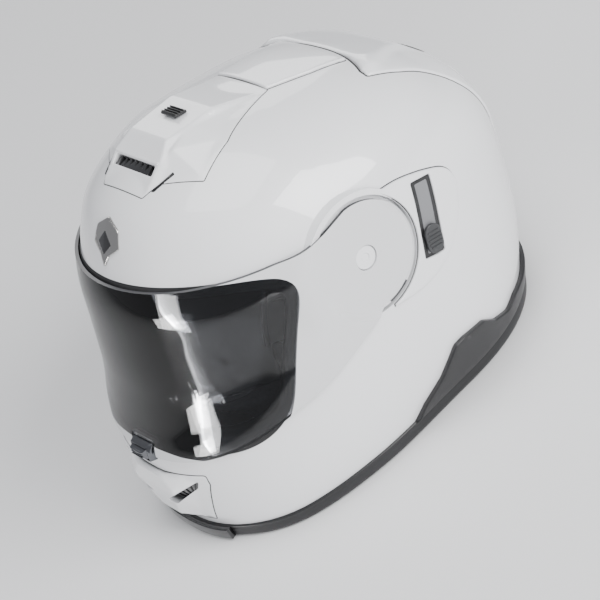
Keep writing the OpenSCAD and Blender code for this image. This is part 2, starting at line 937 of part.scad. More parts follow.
module buckle_lever() {
    color("#c9352c")
        at_strap()
            difference() {
                union() {
                    translate([lever_x, -strap_width / 2 + 2, lever_z - 1.8])
                        cube([30, strap_width - 4, 3.6]);
                    translate([lever_x, strap_width / 2 - 2, lever_z])
                        rotate([90, 0, 0])
                            cylinder(d = 5.4, h = strap_width - 4);
                }
                translate([lever_x, 60, lever_z])
                    rotate([90, 0, 0])
                        cylinder(d = 3.4, h = 120);
            }
}

// ---- Small parts on the front ----
module forehead_badge() {
    color("#9a9da2")
        moulded()
            intersection() {
                layer(1.9, slim);
                rotate([90, 0, 0])
                    linear_extrude(200 * ky)
                        polygon([[-15, 40 * kz], [0, 27 * kz], [15, 40 * kz], [11, 50 * kz],
                                 [0, 56 * kz], [-11, 50 * kz]]);
            }
}
chin_slider_forward = min([for (a = [-52:2:-42]) (reach(a) - foam_outer - 17) * cos(a)]) - fit;
module chin_vent_slider() {
    color("#2c2c2e")
        translate([-8, -chin_slider_forward, -134 * kz])
            difference() {
                cube([16, 4, 8]);
                for (z = [1.6, 3.8, 6])
                    translate([-1, 3.3, z]) cube([18, 1, 0.8]);
            }
}

// The standing frame's place: the helmet stands on the floor, centred under its own box
front_end = 141 * ky * cos(lean) + 136 * kz * sin(lean);
rear_end = 178.2 * ky;
module standing() {
    translate([0, (front_end - rear_end) / 2, -floor_level]) children();
}
module placed() {
    standing() rotate([-lean, 0, 0]) children();
}
placed() outer_shell();
placed() eyeport_gasket();
standing() lower_edge_trim();
placed() rear_diffuser();
placed() left_side_cover();
placed() right_side_cover();
placed() slider_track();
placed() brow_vent_housing();
placed() crown_strip();
placed() rear_spoiler();
placed() rear_exhaust_grille();
placed() chin_vent_cover();
placed() chin_vent_grilles();
standing() chin_under_plate();
placed() base_plate_left();
placed() base_plate_right();
placed() base_plate_screws();
placed() forehead_badge();
placed() latch_housing();
placed() eps_liner();
placed() chin_foam();
placed() cheek_pad_left();
placed() cheek_pad_right();
placed() cheek_pad_snaps();
placed() crown_pad();
placed() neck_roll();
placed() chin_curtain();
placed() breath_deflector();
placed() sun_visor_pivots();
standing() strap_anchors();
standing() chin_strap_left();
standing() chin_strap_right();
standing() strap_pad_left();
standing() strap_pad_right();
standing() buckle_body();
standing() buckle_pin();
standing() ratchet_tongue();
placed() visor_shield();
placed() visor_hinge_left();
placed() visor_hinge_right();
placed() pinlock_pins();
placed() pinlock_lens();
placed() sun_visor_lens();
placed() slider_knob();
placed() brow_vent_slider();
placed() chin_vent_slider();
placed() latch_button();
standing() buckle_lever();
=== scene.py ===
"""Full-face motorcycle helmet: the looks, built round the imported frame.

Shapes are worked out in millimetres from the visor pivot, as (sideways, forward, up) of a head frame that
leans forward over the standing frame, and turned into the frame's metres when a mesh is made.
"""
import bpy
import bmesh
import math
import numpy as np
from mathutils import Matrix, Vector
from mathutils.bvhtree import BVHTree
from mathutils.geometry import delaunay_2d_cdt

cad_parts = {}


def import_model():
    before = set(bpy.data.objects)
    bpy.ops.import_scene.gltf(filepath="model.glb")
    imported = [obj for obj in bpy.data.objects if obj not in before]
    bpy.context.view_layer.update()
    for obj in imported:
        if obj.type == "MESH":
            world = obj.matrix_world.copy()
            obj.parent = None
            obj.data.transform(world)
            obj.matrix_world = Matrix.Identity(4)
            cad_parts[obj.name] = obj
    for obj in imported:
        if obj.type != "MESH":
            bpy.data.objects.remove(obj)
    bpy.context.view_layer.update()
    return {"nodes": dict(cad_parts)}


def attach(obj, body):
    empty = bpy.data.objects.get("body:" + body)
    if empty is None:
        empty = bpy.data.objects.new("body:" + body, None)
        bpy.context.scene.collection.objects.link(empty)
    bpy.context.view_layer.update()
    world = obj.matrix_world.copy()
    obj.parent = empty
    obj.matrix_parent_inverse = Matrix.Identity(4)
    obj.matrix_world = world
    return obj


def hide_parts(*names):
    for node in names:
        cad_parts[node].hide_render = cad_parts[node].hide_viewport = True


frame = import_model()

# ------------------------------------------------------------------ the shell's surface
HALF = 122.0
RIM = -134.4            # in the standing frame, as are SHIFT and FLOOR
FLOOR = 144.4
LEAN = math.radians(14)
COS, SIN = math.cos(LEAN), math.sin(LEAN)
SHIFT = (141 * COS + 136 * SIN - 178.2) / 2
OUTLINE = [
    (36, -205), (98, -198), (121, -172), (131, -148), (136.5, -128), (136, -108), (131, -84), (128, -60),
    (126.5, -28), (124.5, 4), (117, 31), (102, 59), (69, 82), (35, 94), (0, 96), (-35, 95), (-77, 91),
    (-128, 73), (-169, 30), (-176, -31), (-165, -96), (-133, -158), (-50, -184)]
SQUARENESS = [
    (-85, 2.9), (-60, 2.45), (-30, 2.15), (0, 2.05), (45, 2.05), (90, 2.25), (135, 2.5), (180, 2.5),
    (215, 2.8), (245, 3.1)]


def periodic(pairs):
    """A smooth closed curve through pairs of angle and value."""
    a = np.array([p[0] for p in pairs], float)
    v = np.array([p[1] for p in pairs], float)
    a3 = np.concatenate([a - 360, a, a + 360])
    v3 = np.tile(v, 3)
    m3 = (np.roll(v3, -1) - np.roll(v3, 1)) / (np.roll(a3, -1) - np.roll(a3, 1))

    def value(x):
        x = (np.asarray(x, float) - a[0]) % 360 + a[0]
        i = np.clip(np.searchsorted(a3, x, side="right") - 1, 1, len(a3) - 3)
        h = a3[i + 1] - a3[i]
        s = (x - a3[i]) / h
        s2, s3 = s * s, s * s * s
        return (v3[i] * (2 * s3 - 3 * s2 + 1) + v3[i + 1] * (3 * s2 - 2 * s3)
                + h * m3[i] * (s3 - 2 * s2 + s) + h * m3[i + 1] * (s3 - s2))
    return value


def turn(a):
    return a + 360 if a < -90 else a


reach = periodic([(turn(math.degrees(math.atan2(u, f))), math.hypot(f, u)) for f, u in OUTLINE])
power = periodic(SQUARENESS)


def surface(angle, off, inset=0.0):
    """Points of the surface: angle round the pivot line, off from +X, both in degrees."""
    angle, off = np.broadcast_arrays(np.asarray(angle, float), np.asarray(off, float))
    c, s = np.cos(np.radians(off)), np.sin(np.radians(off))
    n, r = power(angle), reach(angle)
    d = ((np.abs(c) / (HALF - inset)) ** n + (s / (r - inset)) ** n) ** (-1 / n)
    return np.stack([d * c, d * s * np.cos(np.radians(angle)), d * s * np.sin(np.radians(angle))], -1)


def level(p, inset=0.0):
    """Below nought inside the surface, above it outside."""
    rho = np.hypot(p[..., 1], p[..., 2])
    a = np.degrees(np.arctan2(p[..., 2], p[..., 1]))
    n = power(a)
    return (np.abs(p[..., 0]) / (HALF - inset)) ** n + (rho / (reach(a) - inset)) ** n - 1


def normals(p, inset=0.0):
    g = np.stack([level(p + d, inset) - level(p - d, inset) for d in np.eye(3) * 0.2], -1)
    return g / np.linalg.norm(g, axis=-1, keepdims=True)


def cast(base, direction, inset=0.0, far=330.0):
    """Where lines that start inside leave the surface."""
    base = np.asarray(base, float)
    direction = np.broadcast_to(np.asarray(direction, float), base.shape)
    inset = np.broadcast_to(np.asarray(inset, float), base.shape[:-1])
    lo, hi = np.zeros(base.shape[:-1]), np.full(base.shape[:-1], float(far))
    for _ in range(34):
        mid = (lo + hi) / 2
        within = level(base + mid[..., None] * direction, inset) < 0
        lo, hi = np.where(within, mid, lo), np.where(within, hi, mid)
    return base + ((lo + hi) / 2)[..., None] * direction


class Chart:
    """A flat drawing plane (axes a, b) whose points are carried along d onto the surface."""

    def __init__(self, a, b, d):
        self.a, self.b, self.d = (np.array(v, float) for v in (a, b, d))

    def __call__(self, uv, lift=0.0):
        uv = np.asarray(uv, float)
        return cast(uv[..., :1] * self.a + uv[..., 1:2] * self.b, self.d, -np.asarray(lift, float))


SIDE = Chart((0, 1, 0), (0, 0, 1), (1, 0, 0))
TOP = Chart((1, 0, 0), (0, 1, 0), (0, 0, 1))
FRONT = Chart((1, 0, 0), (0, 0, 1), (0, 1, 0))
REAR = Chart((1, 0, 0), (0, 0, 1), (0, -1, 0))
_t = math.radians(62)
BROW = Chart((1, 0, 0), (0, math.sin(_t), -math.cos(_t)), (0, math.cos(_t), math.sin(_t)))


# ------------------------------------------------------------------ meshes
def world(p):
    """Metres in the frame for millimetre points of the head frame."""
    p = np.asarray(p, float)
    x, f, u = p[..., 0], p[..., 1], p[..., 2]
    return np.stack([x, SHIFT - (f * COS - u * SIN), f * SIN + u * COS + FLOOR], -1) / 1000.0


def stand(p):
    """Head frame points for (sideways, forward, up) points of the standing frame."""
    p = np.asarray(p, float)
    x, f, u = p[..., 0], p[..., 1], p[..., 2]
    return np.stack([x, f * COS + u * SIN, u * COS - f * SIN], -1)


def head(co):
    """Head frame points for metres in the frame."""
    co = np.asarray(co, float) * 1000
    return stand(np.stack([co[..., 0], SHIFT - co[..., 1], co[..., 2] - FLOOR], -1))


def make(name, points, faces, material, body="shell", replaces=(), slot=None, smooth=True, fix=True):
    mesh = bpy.data.meshes.new(name)
    mesh.from_pydata([tuple(v) for v in world(points)], [], [tuple(int(i) for i in f) for f in faces])
    if fix:
        bm = bmesh.new()
        bm.from_mesh(mesh)
        bmesh.ops.recalc_face_normals(bm, faces=bm.faces)
        bm.to_mesh(mesh)
        bm.free()
    mesh.update()
    obj = bpy.data.objects.new(name, mesh)
    bpy.context.scene.collection.objects.link(obj)
    if smooth:
        mesh.polygons.foreach_set("use_smooth", [True] * len(mesh.polygons))
    if material is not None:
        mesh.materials.append(material)
    if body:
        dress(obj, body, replaces)
    return obj


def dress(obj, body, replaces=()):
    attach(obj, body)
    if replaces:
        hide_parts(*replaces)
    return obj


def coat(obj, mat, smooth=False):
    """Gives a piece one material in place of those it has."""
    obj.data.materials.clear()
    obj.data.materials.append(mat)
    if smooth:
        obj.data.polygons.foreach_set("use_smooth", [True] * len(obj.data.polygons))
    return obj


def join(name, objs, body, replaces=()):
    """One object of several, keeping their materials."""
    bm = bmesh.new()
    materials = []
    for o in objs:
        for m in o.data.materials:
            if m not in materials:
                materials.append(m)
        start = len(bm.faces)
        bm.from_mesh(o.data)
        bm.faces.ensure_lookup_table()
        for f in bm.faces[start:]:
            f.material_index = materials.index(o.data.materials[f.material_index])
        data = o.data
        bpy.data.objects.remove(o)
        bpy.data.meshes.remove(data)
    mesh = bpy.data.meshes.new(name)
    bm.to_mesh(mesh)
    bm.free()
    for m in materials:
        mesh.materials.append(m)
    obj = bpy.data.objects.new(name, mesh)
    bpy.context.scene.collection.objects.link(obj)
    return dress(obj, body, replaces) if body else obj


def mirrored(points):
    return np.asarray(points) * (-1, 1, 1)


def ccw(loop):
    loop = np.asarray(loop, float)
    x, y = loop[:, 0], loop[:, 1]
    return loop if np.sum(x * np.roll(y, -1) - np.roll(x, -1) * y) > 0 else loop[::-1]


def rounded(points, radius=2.0, n=4):
    """A polygon with its corners rounded. A point may give its own radius as a third value."""
    out = []
    m = len(points)
    for i, p in enumerate(points):
        r = p[2] if len(p) > 2 else radius
        c = np.array(p[:2], float)
        a, b = np.array(points[i - 1][:2], float) - c, np.array(points[(i + 1) % m][:2], float) - c
        la, lb = np.linalg.norm(a), np.linalg.norm(b)
        a, b = a / la, b / lb
        half = math.acos(max(-1, min(1, float(a @ b)))) / 2
        cut = min(r / max(math.tan(half), 1e-3), 0.48 * la, 0.48 * lb)
        if r <= 0 or half > 1.52:
            out.append(c)
            continue
        p0, p1 = c + a * cut, c + b * cut
        for k in range(n + 1):
            t = k / n
            out.append(p0 * (1 - t) ** 2 + 2 * c * t * (1 - t) + p1 * t * t)
    return np.array(out)


def dense(loop, pitch, closed=True):
    out = []
    m = len(loop)
    for i in range(m if closed else m - 1):
        p, q = np.asarray(loop[i], float), np.asarray(loop[(i + 1) % m], float)
        k = max(1, int(math.ceil(np.linalg.norm(q - p) / pitch)))
        out += [p + (q - p) * j / k for j in range(k)]
    if not closed:
        out.append(np.asarray(loop[-1], float))
    return np.array(out)


def spline(points, pitch, closed=True):
    """A Catmull-Rom curve through points."""
    p = np.asarray(points, float)
    m = len(p)
    out = []
    for i in range(m if closed else m - 1):
        if closed:
            a, b, c, d = p[i - 1], p[i], p[(i + 1) % m], p[(i + 2) % m]
        else:
            b, c = p[i], p[i + 1]
            a = p[i - 1] if i else 2 * b - c
            d = p[i + 2] if i + 2 < m else 2 * c - b
        k = max(2, int(math.ceil(np.linalg.norm(c - b) / pitch)))
        for j in range(k):
            t = j / k
            out.append(0.5 * (2 * b + (c - a) * t + (2 * a - 5 * b + 4 * c - d) * t * t
                              + (3 * b - a - 3 * c + d) * t ** 3))
    if not closed:
        out.append(p[-1])
    return np.array(out)


def inward(loop, distance):
    """A dense anticlockwise loop moved inwards."""
    e = np.roll(loop, -1, 0) - loop
    e /= np.maximum(np.linalg.norm(e, axis=1, keepdims=True), 1e-9)
    n = np.stack([-e[:, 1], e[:, 0]], 1)
    m = n + np.roll(n, 1, 0)
    m /= np.maximum(np.linalg.norm(m, axis=1, keepdims=True), 1e-9)
    return loop + m * (distance / np.maximum((m * n).sum(1), 0.6))[:, None]


def within(points, loop):
    points = np.asarray(points, float)
    x, y = points[:, :1], points[:, 1:2]
    a, b = loop, np.roll(loop, -1, 0)
    crosses = (a[:, 1] > y) != (b[:, 1] > y)
    with np.errstate(divide="ignore", invalid="ignore"):
        at = (b[:, 0] - a[:, 0]) * (y - a[:, 1]) / (b[:, 1] - a[:, 1]) + a[:, 0]
    return ((crosses & (x < at)).sum(1) % 2) == 1


def clearance(points, loop, closed=True):
    a = loop if closed else loop[:-1]
    b = np.roll(loop, -1, 0) if closed else loop[1:]
    d = b - a
    t = np.clip(((points[:, None] - a) * d).sum(-1) / np.maximum((d * d).sum(-1), 1e-12), 0, 1)
    return np.linalg.norm(points[:, None] - (a + t[..., None] * d), axis=-1).min(1)


def fill(loops, pitch, lines=()):
    """Triangles inside the first loop and outside the others, with a grid of points and the given lines."""
    loops = [np.asarray(l, float) for l in loops]
    lo, hi = loops[0].min(0), loops[0].max(0)
    xs, ys = np.arange(lo[0], hi[0], pitch), np.arange(lo[1], hi[1], pitch * 0.866)
    grid = np.array([(x + (pitch / 2 if j % 2 else 0), y) for j, y in enumerate(ys) for x in xs]) \
        + (0.13 * pitch, 0.37 * pitch)
    keep = within(grid, loops[0])
    for h in loops[1:]:
        keep &= ~within(grid, h)
    for l in loops:
        keep[keep] = clearance(grid[keep], l) > 0.5 * pitch
    for l in lines:
        keep[keep] = clearance(grid[keep], np.asarray(l, float), False) > 0.5 * pitch
    points, edges = [], []
    for l in loops:
        s = len(points)
        points += list(l)
        edges += [(s + i, s + (i + 1) % len(l)) for i in range(len(l))]
    count = len(points)
    for l in lines:
        s = len(points)
        points += list(l)
        edges += [(s + i, s + i + 1) for i in range(len(l) - 1)]
    points += list(grid[keep])
    v, _, f, orig, _, _ = delaunay_2d_cdt([Vector(p) for p in points], edges, [], 0, 1e-5)
    v = np.array([tuple(p) for p in v])
    back = {}
    for i, o in enumerate(orig):
        for k in o:
            back[k] = i
    f = np.array([tuple(t) for t in f])
    middle = v[f].mean(1)
    good = within(middle, loops[0])
    for h in loops[1:]:
        good &= ~within(middle, h)
    return v, f[good], [back[i] for i in range(count)]


EDGE = [(0.0, 1.0), (0.134, 0.5), (0.5, 0.134), (1.0, 0.0)]


def panel(name, chart, outline, material, lift=1.8, depth=-0.4, pitch=3.0, edge=0.8, holes=(), lines=(),
          mirror=False, body="shell", replaces=(), slot=None, link=True, edge_material=None):
    """A moulded plate that follows the surface: rounded edge, walls down to depth, closed underneath.
    lift is a height or a function of chart points."""
    height = lift if callable(lift) else (lambda q: np.full(len(q), float(lift)))
    loops = [ccw(outline)] + [ccw(h)[::-1] for h in holes]
    rings = []
    for l in loops:
        rings.append([inward(l, edge * d) for d, _ in EDGE])
    top = [r[-1] for r in rings]
    v, f, back = fill(top, pitch, lines)
    points = [chart(v, height(v))]
    faces = [tuple(t) for t in f]
    total = len(v)
    start = 0
    mats = [0] * len(faces)
    bottoms = []
    for l, r in zip(loops, rings):
        m = len(l)
        previous = [back[start + i] for i in range(m)]
        start += m
        for (d, drop), ring in list(zip(EDGE, r))[-2::-1]:
            h = height(ring)
            points.append(chart(ring, h - edge * drop))
            now = list(range(total, total + m))
            total += m
            faces += [(previous[i], previous[(i + 1) % m], now[(i + 1) % m], now[i]) for i in range(m)]
            mats += [0] * m
            previous = now
        points.append(chart(l, np.full(m, float(depth))))
        now = list(range(total, total + m))
        total += m
        faces += [(previous[i], previous[(i + 1) % m], now[(i + 1) % m], now[i]) for i in range(m)]
        mats += [1 if edge_material else 0] * m
        bottoms.append(now)
    # the underside
    v2, f2, back2 = fill(loops, max(pitch * 2, 6))
    flat = [i for b in bottoms for i in b]
    index = {}
    for k, i in enumerate(back2):
        index[i] = flat[k]
    free = [i for i in range(len(v2)) if i not in index]
    if free:
        points.append(chart(v2[free], np.full(len(free), float(depth))))
        for k, i in enumerate(free):
            index[i] = total + k
        total += len(free)
    faces += [tuple(index[i] for i in t)[::-1] for t in f2]
    mats += [0] * len(f2)
    points = np.concatenate(points)
    if mirror:
        points = mirrored(points)
    obj = make(name, points, faces, material, body if link else None, replaces, slot)
    if edge_material:
        obj.data.materials.append(edge_material)
        obj.data.polygons.foreach_set("material_index", mats)
    return obj


def skin(name, step=2.0, inset=0.0, points=None):
    """The whole closed surface as a mesh."""
    angles = np.arange(0, 360, step)
    offs = np.arange(step, 180 - step / 2, step)
    a, o = np.meshgrid(angles, offs)
    p = surface(a, o, inset) if points is None else points(a, o)
    m, n = len(angles), len(offs)
    ends = np.array([[HALF - inset, 0, 0], [inset - HALF, 0, 0]]) if points is None \
        else np.stack([points(np.array(0.0), np.array(0.01)), points(np.array(0.0), np.array(179.99))])
    v = np.concatenate([p.reshape(-1, 3), ends])
    f = [(i * m + j, i * m + (j + 1) % m, (i + 1) * m + (j + 1) % m, (i + 1) * m + j)
         for i in range(n - 1) for j in range(m)]
    f += [(m * n, (j + 1) % m, j) for j in range(m)]
    f += [(m * n + 1, (n - 1) * m + j, (n - 1) * m + (j + 1) % m) for j in range(m)]
    return make(name, v, f, None, None)


def tool(name, points, faces):
    return make(name, points, faces, None, None, smooth=False)


def prism(name, loop, low, high, axes, upright=False):
    """A straight prism of a 2-D loop. axes names which coordinates the loop gives, then the long one."""
    loop = ccw(loop)
    m = len(loop)
    p = np.zeros((2 * m, 3))
    p[:m, axes[0]] = p[m:, axes[0]] = loop[:, 0]
    p[:m, axes[1]] = p[m:, axes[1]] = loop[:, 1]
    p[:m, axes[2]], p[m:, axes[2]] = low, high
    f = [tuple(range(m)), tuple(range(2 * m - 1, m - 1, -1))]
    f += [(i, i + m, (i + 1) % m + m, (i + 1) % m) for i in range(m)]
    return tool(name, stand(p) if upright else p, f)


def circle(r, n=96, centre=(0, 0)):
    a = np.arange(n) * 2 * math.pi / n
    return np.stack([centre[0] + r * np.cos(a), centre[1] + r * np.sin(a)], 1)


def boolean(obj, other, operation="DIFFERENCE"):
    m = obj.modifiers.new("cut", "BOOLEAN")
    m.operation, m.object, m.solver = operation, other, "MANIFOLD"
    bpy.context.view_layer.update()
    mesh = bpy.data.meshes.new_from_object(obj.evaluated_get(bpy.context.evaluated_depsgraph_get()))
    obj.modifiers.clear()
    old, obj.data = obj.data, mesh
    bpy.data.meshes.remove(old)
    data = other.data
    bpy.data.objects.remove(other)
    bpy.data.meshes.remove(data)
    return obj


def borrow_normals(obj, sources, near=2e-5, agree=0.93):
    """Gives faces that lie on a source's surface its smooth normals, and leaves the others flat."""
    trees = []
    for s in sources:
        mesh = s.data
        co = np.empty(len(mesh.vertices) * 3)
        mesh.vertices.foreach_get("co", co)
        no = np.empty(len(mesh.vertices) * 3)
        mesh.vertices.foreach_get("normal", no)
        co, no = co.reshape(-1, 3), no.reshape(-1, 3)
        polys = []
        for p in mesh.polygons:
            v = tuple(p.vertices)
            polys += [v[:3]] if len(v) == 3 else [(v[0], v[1], v[2]), (v[0], v[2], v[3])]
        trees.append((BVHTree.FromPolygons([Vector(c) for c in co], polys), polys, co, no))
    mesh = obj.data
    found = []
    for v in mesh.vertices:
        best = None
        for k, (tree, polys, co, no) in enumerate(trees):
            hit, _, i, d = tree.find_nearest(v.co, 0.001)
            if i is not None and d < near and (best is None or d < best[1]):
                a, b, c = polys[i]
                m = np.stack([co[a], co[b], co[c]], 1)
                try:
                    w = np.linalg.solve(m, np.array(hit))
                except np.linalg.LinAlgError:
                    w = np.ones(3) / 3
                w = np.clip(w, 0, 1)
                n = no[a] * w[0] + no[b] * w[1] + no[c] * w[2]
                best = (n / np.linalg.norm(n), d)
        found.append(None if best is None else best[0])
    custom = []
    for p in mesh.polygons:
        pn = np.array(p.normal)
        for i in p.vertices:
            n = found[i]
            if n is not None and abs(n @ pn) > agree:
                custom.append(tuple(n if n @ pn > 0 else -n))
            else:
                custom.append(tuple(pn))
    mesh.polygons.foreach_set("use_smooth", [True] * len(mesh.polygons))
    mesh.normals_split_custom_set(custom)


def split_along(obj, field):
    """Cuts a mesh's faces along the line where a function of (x, f, u) points is nought."""
    bm = bmesh.new()
    bm.from_mesh(obj.data)
    bm.verts.ensure_lookup_table()
    value = field(head([v.co for v in bm.verts]))
    side = {v: value[v.index] for v in bm.verts}
    fresh = set()
    for e in list(bm.edges):
        a, b = e.verts
        va, vb = side[a], side[b]
        if va * vb < 0:
            _, v = bmesh.utils.edge_split(e, a, va / (va - vb))
            fresh.add(v)
    for f in list(bm.faces):
        hits = [v for v in f.verts if v in fresh]
        if len(hits) == 2 and not any(set(e.verts) == set(hits) for e in f.edges):
            bmesh.utils.face_split(f, hits[0], hits[1])
    bm.to_mesh(obj.data)
    bm.free()
    obj.data.update()


def discard(*objs):
    for o in objs:
        data = o.data
        bpy.data.objects.remove(o)
        bpy.data.meshes.remove(data)


def lattice(name, rows, material, closed_long=True, closed_round=True, cap=True, **kw):
    n, m = rows.shape[:2]
    f = []
    for i in range(n if closed_long else n - 1):
        for j in range(m if closed_round else m - 1):
            k, l = (i + 1) % n, (j + 1) % m
            f.append((i * m + j, i * m + l, k * m + l, k * m + j))
    if cap and not closed_long and closed_round:
        f += [tuple(range(m)), tuple(range((n - 1) * m, n * m))]
    return make(name, rows.reshape(-1, 3), f, material, **kw)


EYE_TOP, EYE_BOTTOM, EYE_SIDE = 8.0, 35.0, 60.0


def squared(v):
    return np.sign(v) * np.abs(v) ** (1 / 3)


def eyeport(a, grow=0.0):
    """Directions from the pivot along the edge of the eyeport."""
    a = np.radians(np.asarray(a, float))
    h = ((EYE_TOP + EYE_BOTTOM) / 2 + grow) * squared(np.sin(a))
    w = np.radians((EYE_SIDE + grow + 0.38 * h) * squared(np.cos(a)))
    e = np.radians((EYE_TOP - EYE_BOTTOM) / 2 + h)
    return np.stack([np.sin(w) * np.cos(e), np.cos(w) * np.cos(e), np.sin(e)], -1)


def along(direction, inset=0.0):
    """The surface point in a direction from the pivot."""
    d = direction / np.linalg.norm(direction, axis=-1, keepdims=True)
    a = np.degrees(np.arctan2(d[..., 2], d[..., 1]))
    off = np.degrees(np.arccos(np.clip(d[..., 0], -1, 1)))
    return surface(a, off, inset)


def even_eyeport(count, grow=0.0, inset=0.0):
    """Angles that space points of the eyeport's edge evenly."""
    a = np.linspace(0, 360, 1441)
    p = along(eyeport(a, grow), inset)
    s = np.concatenate([[0], np.cumsum(np.linalg.norm(np.diff(p, axis=0), axis=1))])
    return np.interp(np.linspace(0, s[-1], count + 1)[:-1], s, a)


def cone(name, grow):
    loop = eyeport(even_eyeport(240), grow) * 420
    m = len(loop)
    p = np.concatenate([[[0, 0, 0], [0, 420, 0]], loop])
    return tool(name, p, [(0, 2 + i, 2 + (i + 1) % m) for i in range(m)]
                + [(1, 2 + (i + 1) % m, 2 + i) for i in range(m)])


# ------------------------------------------------------------------ materials
def material(name, colour, rough=0.5, metal=0.0, coat=0.0, coat_rough=0.05, spec=0.5, alpha=1.0, sheen=0.0,
             sheen_tint=(1, 1, 1), vary=0.04, vary_scale=18.0, bump=(), rough_vary=0.08, ior=1.5):
    """A Principled material with colour variation, roughness variation and bump layers of (kind, scale, height)."""
    m = bpy.data.materials.new(name)
    m.use_nodes = True
    nt = m.node_tree
    b = nt.nodes["Principled BSDF"]
    b.inputs["Metallic"].default_value = metal
    b.inputs["IOR"].default_value = ior
    b.inputs["Specular IOR Level"].default_value = spec
    b.inputs["Coat Weight"].default_value = coat
    b.inputs["Coat Roughness"].default_value = coat_rough
    b.inputs["Alpha"].default_value = alpha
    b.inputs["Sheen Weight"].default_value = sheen
    b.inputs["Sheen Tint"].default_value = (*sheen_tint, 1)
    where = nt.nodes.new("ShaderNodeTexCoord").outputs["Object"]
    noise = nt.nodes.new("ShaderNodeTexNoise")
    noise.inputs["Scale"].default_value = vary_scale
    noise.inputs["Detail"].default_value = 4
    nt.links.new(where, noise.inputs["Vector"])
    mix = nt.nodes.new("ShaderNodeMix")
    mix.data_type = "RGBA"
    lo = tuple(max(0, c * (1 - vary)) for c in colour)
    hi = tuple(min(1, c * (1 + vary)) for c in colour)
    mix.inputs["A"].default_value = (*lo, 1)
    mix.inputs["B"].default_value = (*hi, 1)
    nt.links.new(noise.outputs["Fac"], mix.inputs["Factor"])
    nt.links.new(mix.outputs["Result"], b.inputs["Base Color"])
    fine = nt.nodes.new("ShaderNodeTexNoise")
    fine.inputs["Scale"].default_value = vary_scale * 6
    fine.inputs["Detail"].default_value = 3
    nt.links.new(where, fine.inputs["Vector"])
    span = nt.nodes.new("ShaderNodeMapRange")
    span.inputs["To Min"].default_value = max(0.0, rough * (1 - rough_vary))
    span.inputs["To Max"].default_value = min(1.0, rough * (1 + rough_vary))
    nt.links.new(fine.outputs["Fac"], span.inputs["Value"])
    nt.links.new(span.outputs["Result"], b.inputs["Roughness"])
    last = None
    for kind, scale, height in bump:
        if kind == "noise":
            t = nt.nodes.new("ShaderNodeTexNoise")
            t.inputs["Detail"].default_value = 2
            out = t.outputs["Fac"]
        elif kind == "cells":
            t = nt.nodes.new("ShaderNodeTexVoronoi")
            out = t.outputs["Distance"]
        else:
            t = nt.nodes.new("ShaderNodeTexWave")
            t.bands_direction = kind
            t.inputs["Distortion"].default_value = 0.3
            out = t.outputs["Fac"]
        t.inputs["Scale"].default_value = scale
        nt.links.new(where, t.inputs["Vector"])
        bp = nt.nodes.new("ShaderNodeBump")
        bp.inputs["Strength"].default_value = 1.0
        bp.inputs["Distance"].default_value = height
        nt.links.new(out, bp.inputs["Height"])
        if last:
            nt.links.new(last, bp.inputs["Normal"])
        last = bp.outputs["Normal"]
    if last:
        nt.links.new(last, b.inputs["Normal"])
    return m


def clear(name, tint, rough=0.02, veil=0.0, veil_colour=(0.8, 0.8, 0.82), ior=1.49):
    """A clear sheet: it lets light straight through with a tint, has a glossy face, and may have a thin veil."""
    m = bpy.data.materials.new(name)
    m.use_nodes = True
    nt = m.node_tree
    nt.nodes.remove(nt.nodes["Principled BSDF"])
    out = nt.nodes["Material Output"]
    where = nt.nodes.new("ShaderNodeTexCoord").outputs["Object"]
    noise = nt.nodes.new("ShaderNodeTexNoise")
    noise.inputs["Scale"].default_value = 9
    nt.links.new(where, noise.inputs["Vector"])
    mix = nt.nodes.new("ShaderNodeMix")
    mix.data_type = "RGBA"
    mix.inputs["A"].default_value = (*[c * 0.99 for c in tint], 1)
    mix.inputs["B"].default_value = (*tint, 1)
    nt.links.new(noise.outputs["Fac"], mix.inputs["Factor"])
    through = nt.nodes.new("ShaderNodeBsdfTransparent")
    nt.links.new(mix.outputs["Result"], through.inputs["Color"])
    base = through.outputs[0]
    if veil:
        haze = nt.nodes.new("ShaderNodeBsdfDiffuse")
        haze.inputs["Color"].default_value = (*veil_colour, 1)
        mv = nt.nodes.new("ShaderNodeMixShader")
        mv.inputs[0].default_value = veil
        nt.links.new(base, mv.inputs[1])
        nt.links.new(haze.outputs[0], mv.inputs[2])
        base = mv.outputs[0]
    gloss = nt.nodes.new("ShaderNodeBsdfGlossy")
    gloss.inputs["Roughness"].default_value = rough
    fresnel = nt.nodes.new("ShaderNodeFresnel")
    fresnel.inputs["IOR"].default_value = ior
    ms = nt.nodes.new("ShaderNodeMixShader")
    nt.links.new(fresnel.outputs[0], ms.inputs[0])
    nt.links.new(base, ms.inputs[1])
    nt.links.new(gloss.outputs[0], ms.inputs[2])
    nt.links.new(ms.outputs[0], out.inputs["Surface"])
    return m


WHITE = material("white_paint", (0.80, 0.805, 0.82), 0.32, coat=1.0, coat_rough=0.04, vary=0.012, vary_scale=7,
                 bump=[("noise", 420, 0.000012), ("noise", 2600, 0.000003)], rough_vary=0.1)
PLATE = material("white_plastic", (0.78, 0.785, 0.80), 0.35, vary=0.015, bump=[("noise", 1500, 0.000008)])
RUBBER = material("black_rubber", (0.012, 0.012, 0.013), 0.48, vary=0.2, bump=[("noise", 2200, 0.00003)])
BLACK = material("black_plastic", (0.014, 0.014, 0.015), 0.38, vary=0.15, bump=[("noise", 1500, 0.00004)],
                 rough_vary=0.15)
GLOSS_BLACK = material("black_gloss_plastic", (0.008, 0.008, 0.009), 0.16, vary=0.2, coat=0.6, coat_rough=0.06,
                       bump=[("noise", 900, 0.00001)])
GREY = material("grey_plastic", (0.17, 0.172, 0.18), 0.45, vary=0.06, bump=[("noise", 1800, 0.00003)])
KNOB = material("knob_plastic", (0.035, 0.036, 0.038), 0.4, vary=0.1, bump=[("noise", 1800, 0.00003)])
